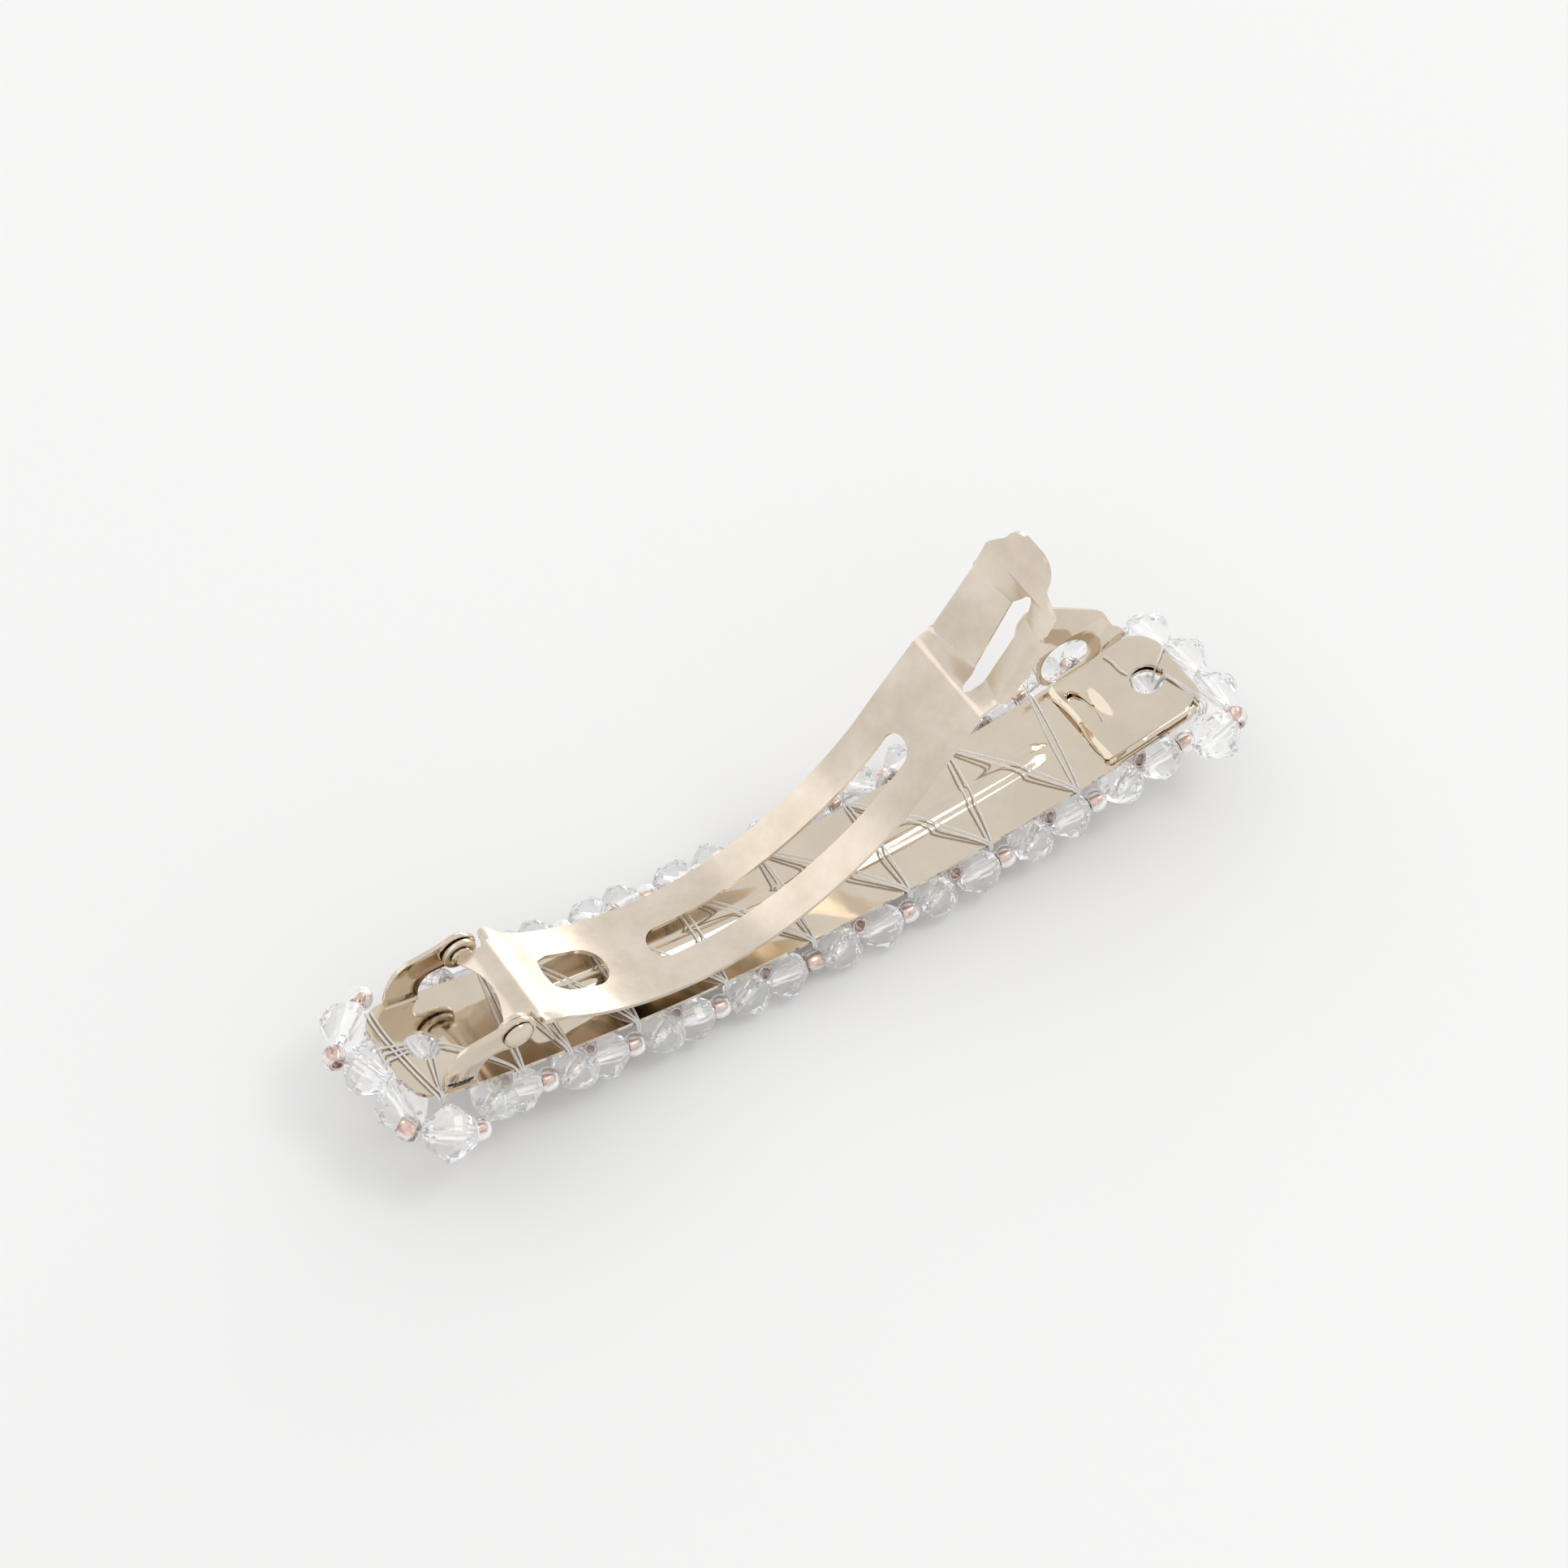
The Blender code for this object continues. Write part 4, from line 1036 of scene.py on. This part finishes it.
def seed_bmesh():
    """Rounded glass seed bead with a metallic lining in its hole."""
    bm = bmesh.new()
    h = SEED_LENGTH / 2
    profile = [(SEED_HOLE, -h * 0.86), (SEED_HOLE + 0.12, -h)]
    for k in range(9):
        a = -math.pi / 2 + math.pi * k / 8
        profile.append((SEED_RADIUS - SEED_ROUNDING + SEED_ROUNDING * abs(math.cos(a)),
                        h * math.sin(a) * (0.97 if k in (0, 8) else 0.9)))
    profile += [(SEED_HOLE + 0.12, h), (SEED_HOLE, h * 0.86)]
    lathe_into(bm, profile, Matrix.Identity(4), 28, 0, loop=True)
    lining = [(SEED_HOLE - 0.02, -h * 0.84), (SEED_HOLE - 0.02, h * 0.84),
              (SEED_HOLE - 0.10, h * 0.84), (SEED_HOLE - 0.10, -h * 0.84)]
    lathe_into(bm, lining, Matrix.Identity(4), 28, 1, loop=True)
    return bm


def put_bead(kind, name, point, direction, size=CRYSTAL):
    """One bead as its own piece. size is a crystal's; all seed beads are alike."""
    spin = chance.uniform(0, math.tau)
    turn = bead_turn(direction, spin)
    place = Matrix.Translation(Vector(point)) @ turn
    if kind == "crystal":
        bm = crystal_bmesh(size)
        materials, sharp, slot = [CRYSTAL_GLASS], 2.0, "crystal_glass"
    else:
        bm = seed_bmesh()
        materials, sharp, slot = [ROSE_GLASS, LINING], 40.0, None
    bm.transform(place)
    return finish_mesh(name, bm, materials, sharp=sharp)


def put_string(name, points):
    """Run of line through some beads."""
    bm = bmesh.new()
    tube_into(bm, smooth_path(points, 0.5), STRING_RADIUS)
    finish_mesh(name, bm, [NYLON], sharp=60)


def bead_point(x, y, drop=BEAD_DROP):
    """Place of a bead's centre under the bar."""
    return Vector((x, y + BEAD_SHIFT, bar_z(x) - drop))


def build_edge_unit(index, side):
    """Outer seed, crystal, inner seed, crystal along one long edge."""
    label = "%s_%d" % ("front" if side < 0 else "rear", index + 1)
    lag = REAR_LAG if side > 0 else 0.0
    x1 = STATIONS[index] + lag
    x0 = STATIONS[index + 1] + lag
    xc = (x0 + x1) / 2
    out = bead_point(x1, side * OUTER_SEED_Y)
    mid = bead_point(xc, side * (EDGE_Y - 0.1))
    end = bead_point(x0 + 0.80, side * (OUTER_SEED_Y - 0.05))
    d1 = (out - mid).normalized()
    d0 = (mid - end).normalized()
    inner = bead_point(xc, side * INNER_SEED_Y, INNER_SEED_DROP)
    beside_seed = out - d1 * (SEED_LENGTH / 2 + CRYSTAL / 2 - 0.02)
    first = put_bead("crystal", "crystal_%s_a" % label, beside_seed, d1)
    tilted = Vector((0.85, side * -0.55, -0.25)).normalized()   # it hangs askew on its string
    put_bead("crystal", "crystal_%s_b" % label, end + d0 * (CRYSTAL / 2 + 0.02), tilted)
    put_bead("seed", "seed_%s_outer" % label, out, d1)
    put_bead("seed", "seed_%s_inner" % label, inner, (0, 1, -0.6))
    put_string("string_" + label, [out + d1 * 0.3, out, mid, end + d0 * 0.4])
    put_string("tie_" + label, [inner + Vector((0, -side * 0.8, 0.7)), inner, mid])
    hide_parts("bead_edge_" + label)


def build_diamond(index):
    """Crystals that cross the beaded face round a centre bead."""
    x = STATIONS[index]
    centre = bead_point(x, 0)
    at_end = index in (0, len(STATIONS) - 1)
    reach = 3.55 if at_end else 3.05
    name = str(index + 1)
    if at_end:
        middle = put_bead("crystal", "crystal_face_%s_centre" % name, centre, (0, 1, 0),
                          FACE_CENTRE_CRYSTAL)
    else:
        middle = put_bead("seed", "seed_face_" + name, centre, (1, 0, 0))
    for sx in (-1, 1):
        j = index - sx
        if not 0 <= j < len(STATIONS):
            continue
        xc = (x + STATIONS[j]) / 2
        for sy in (-1, 1):
            d = (bead_point(xc, sy * NET_Y) - centre).normalized()
            c = centre + d * reach
            tag = "%s_%s%s" % (name, "ab"[(sx + 1) // 2], "fr"[(sy + 1) // 2])
            put_bead("crystal", "crystal_face_" + tag, c, d, FACE_CRYSTAL)
            put_string("string_face_" + tag, [centre, c, centre + d * 5.2])
    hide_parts("bead_diamond_" + name)


def build_end(label, points):
    """Chain of beads round one end of the bar: (kind, x, y) in stringing order."""
    spots = [bead_point(x, y) for kind, x, y in points]
    for i, (kind, _x, _y) in enumerate(points):
        a = spots[max(i - 1, 0)]
        b = spots[min(i + 1, len(spots) - 1)]
        d = (b - a).normalized()
        name = "%s_end_%s_%d" % (kind, label, i + 1)
        put_bead(kind, name, spots[i], d, END_CRYSTAL)
    put_string("string_end_" + label, spots)
    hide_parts("bead_end_" + label)


def build_beads():
    for i in range(len(STATIONS) - 1):
        for side in (-1, 1):
            build_edge_unit(i, side)
    for i in range(len(STATIONS)):
        build_diamond(i)
    build_end("hinge", HINGE_END_BEADS)
    build_end("catch", CATCH_END_BEADS)


# ---- lacing ----
def on_bar(x, y, lift=0.16):
    """A point of a line that lies on the bar's back."""
    return Vector((x, y, bar_z(x) + rib(x, y) + lift))


def build_lacing():
    """Pairs of line drawn over the back of the bar from edge to edge."""
    edge = BAR_HALF_WIDTH + 0.16
    for label, shift, lift in (("a", -LACING_SPREAD, 0.11), ("b", LACING_SPREAD, 0.16)):
        bm = bmesh.new()
        for i, near in enumerate(LACING_FRONT):
            crossings = [LACING_REAR[i]]
            if i:
                crossings.append(LACING_REAR[i - 1])
            for j, far in enumerate(crossings):
                top = lift + LACING_STACK * j
                points = [Vector((near + shift * 0.3, -edge - 0.1, bar_z(near) - 0.9)),
                          Vector((near + shift * 0.4, -edge, bar_z(near) - 0.05))]
                for k in range(1, 12):
                    t = k / 12
                    x = near + (far - near) * t + shift * (0.5 + 0.6 * math.sin(math.pi * t))
                    y = -edge + 2 * edge * t
                    ridge = rib(x, 0) * (1 - abs(y) / edge)
                    points.append(Vector((x, y, bar_z(x) + max(rib(x, y), ridge) + top)))
                points.append(Vector((far + shift * 0.4, edge, bar_z(far) - 0.05)))
                points.append(Vector((far + shift * 0.3, edge + 0.1, bar_z(far) - 0.9)))
                tube_into(bm, smooth_path(points, 0.6), LINE_RADIUS)
        lacing = finish_mesh("lacing_line_" + label, bm, [NYLON], sharp=60)
        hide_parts("lacing_" + label)


def build_lashing(label, runs, node):
    """Several short runs of line round an end hole, as one piece."""
    bm = bmesh.new()
    for points in runs:
        tube_into(bm, smooth_path(points, 0.4), LINE_RADIUS)
    piece = finish_mesh("lashing_line_" + label, bm, [NYLON], sharp=60)
    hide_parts(node)


def build_lashings():
    """Line wound round the bar's ends and through the end holes, down into the netting."""
    under = -1.2

    def run(*points):
        return [on_bar(*point) for point in points]

    hinge = []
    for shift in (0.0, 0.45):
        hinge.append(run((-39.1 + shift, 4.5, under), (-39.25 + shift, 4.5, 0.1),
                         (-39.3 + shift, 2.0), (-38.9 + shift, -1.5), (-38.4 + shift, -4.4),
                         (-38.2 + shift, -5.25, 0.0), (-38.1 + shift, -5.4, under)))
    for y in (0.9, 0.2, -0.5):
        hinge.append(run((-40.25, y, under), (-40.2, y, 0.12), (-39.2, y * 0.8),
                         (-38.3, y * 0.6, 0.22), (-37.8, y * 0.5, -0.1),
                         (-37.7, y * 0.5, under)))
    for shift in (0.0, 0.5):
        hinge.append(run((-36.9 + shift, -0.6, under), (-36.9 + shift, -1.1, -0.1),
                         (-37.0 + shift, -1.7, 0.2), (-37.6 + shift * 0.5, -4.0),
                         (-37.9 + shift * 0.3, -5.2, 0.0), (-38.0, -5.4, under)))
        hinge.append(run((-35.8, -0.2 - shift, under), (-35.5, -0.3 - shift, -0.1),
                         (-35.0, -0.6 - shift, 0.2), (-33.0, -2.4 - shift * 0.6),
                         (-31.4, -4.3 - shift * 0.3), (-30.9, -5.2, 0.0),
                         (-30.8, -5.35, under)))
    build_lashing("hinge", hinge, "lashing_hinge")
    top = CATCH_LIFT + SHEET / 2
    catch = [run((36.0, 0.6, under), (35.7, 1.2, top - 0.1), (35.3, 2.0, top + 0.25),
                 (35.2, 3.4, top + 0.3), (35.0, 4.3, top + 0.35)),
             run((37.8, 0.4, under), (38.1, 0.6, top - 0.1), (38.7, 1.0, top + 0.1),
                 (39.8, 1.9, 0.55), (40.25, 2.3, 0.1), (40.3, 2.4, under))]
    for shift in (0.0, 0.35, 0.7):
        catch.append(run((37.6, -0.3, under), (37.9, -0.6 - shift * 0.3, top - 0.1),
                         (38.2, -1.1 - shift * 0.5, top + 0.12),
                         (39.0 - shift * 0.5, -3.2, 0.5), (39.5 - shift, -4.4, 0.25),
                         (39.6 - shift, -4.9, -0.1), (39.6 - shift, -5.0, under)))
    build_lashing("catch", catch, "lashing_catch")


build_camera()
build_floor()
build_studio()
build_bar()
build_studs()
build_arm()
build_catch_plate()
build_wings()
build_beads()
build_lacing()
build_lashings()
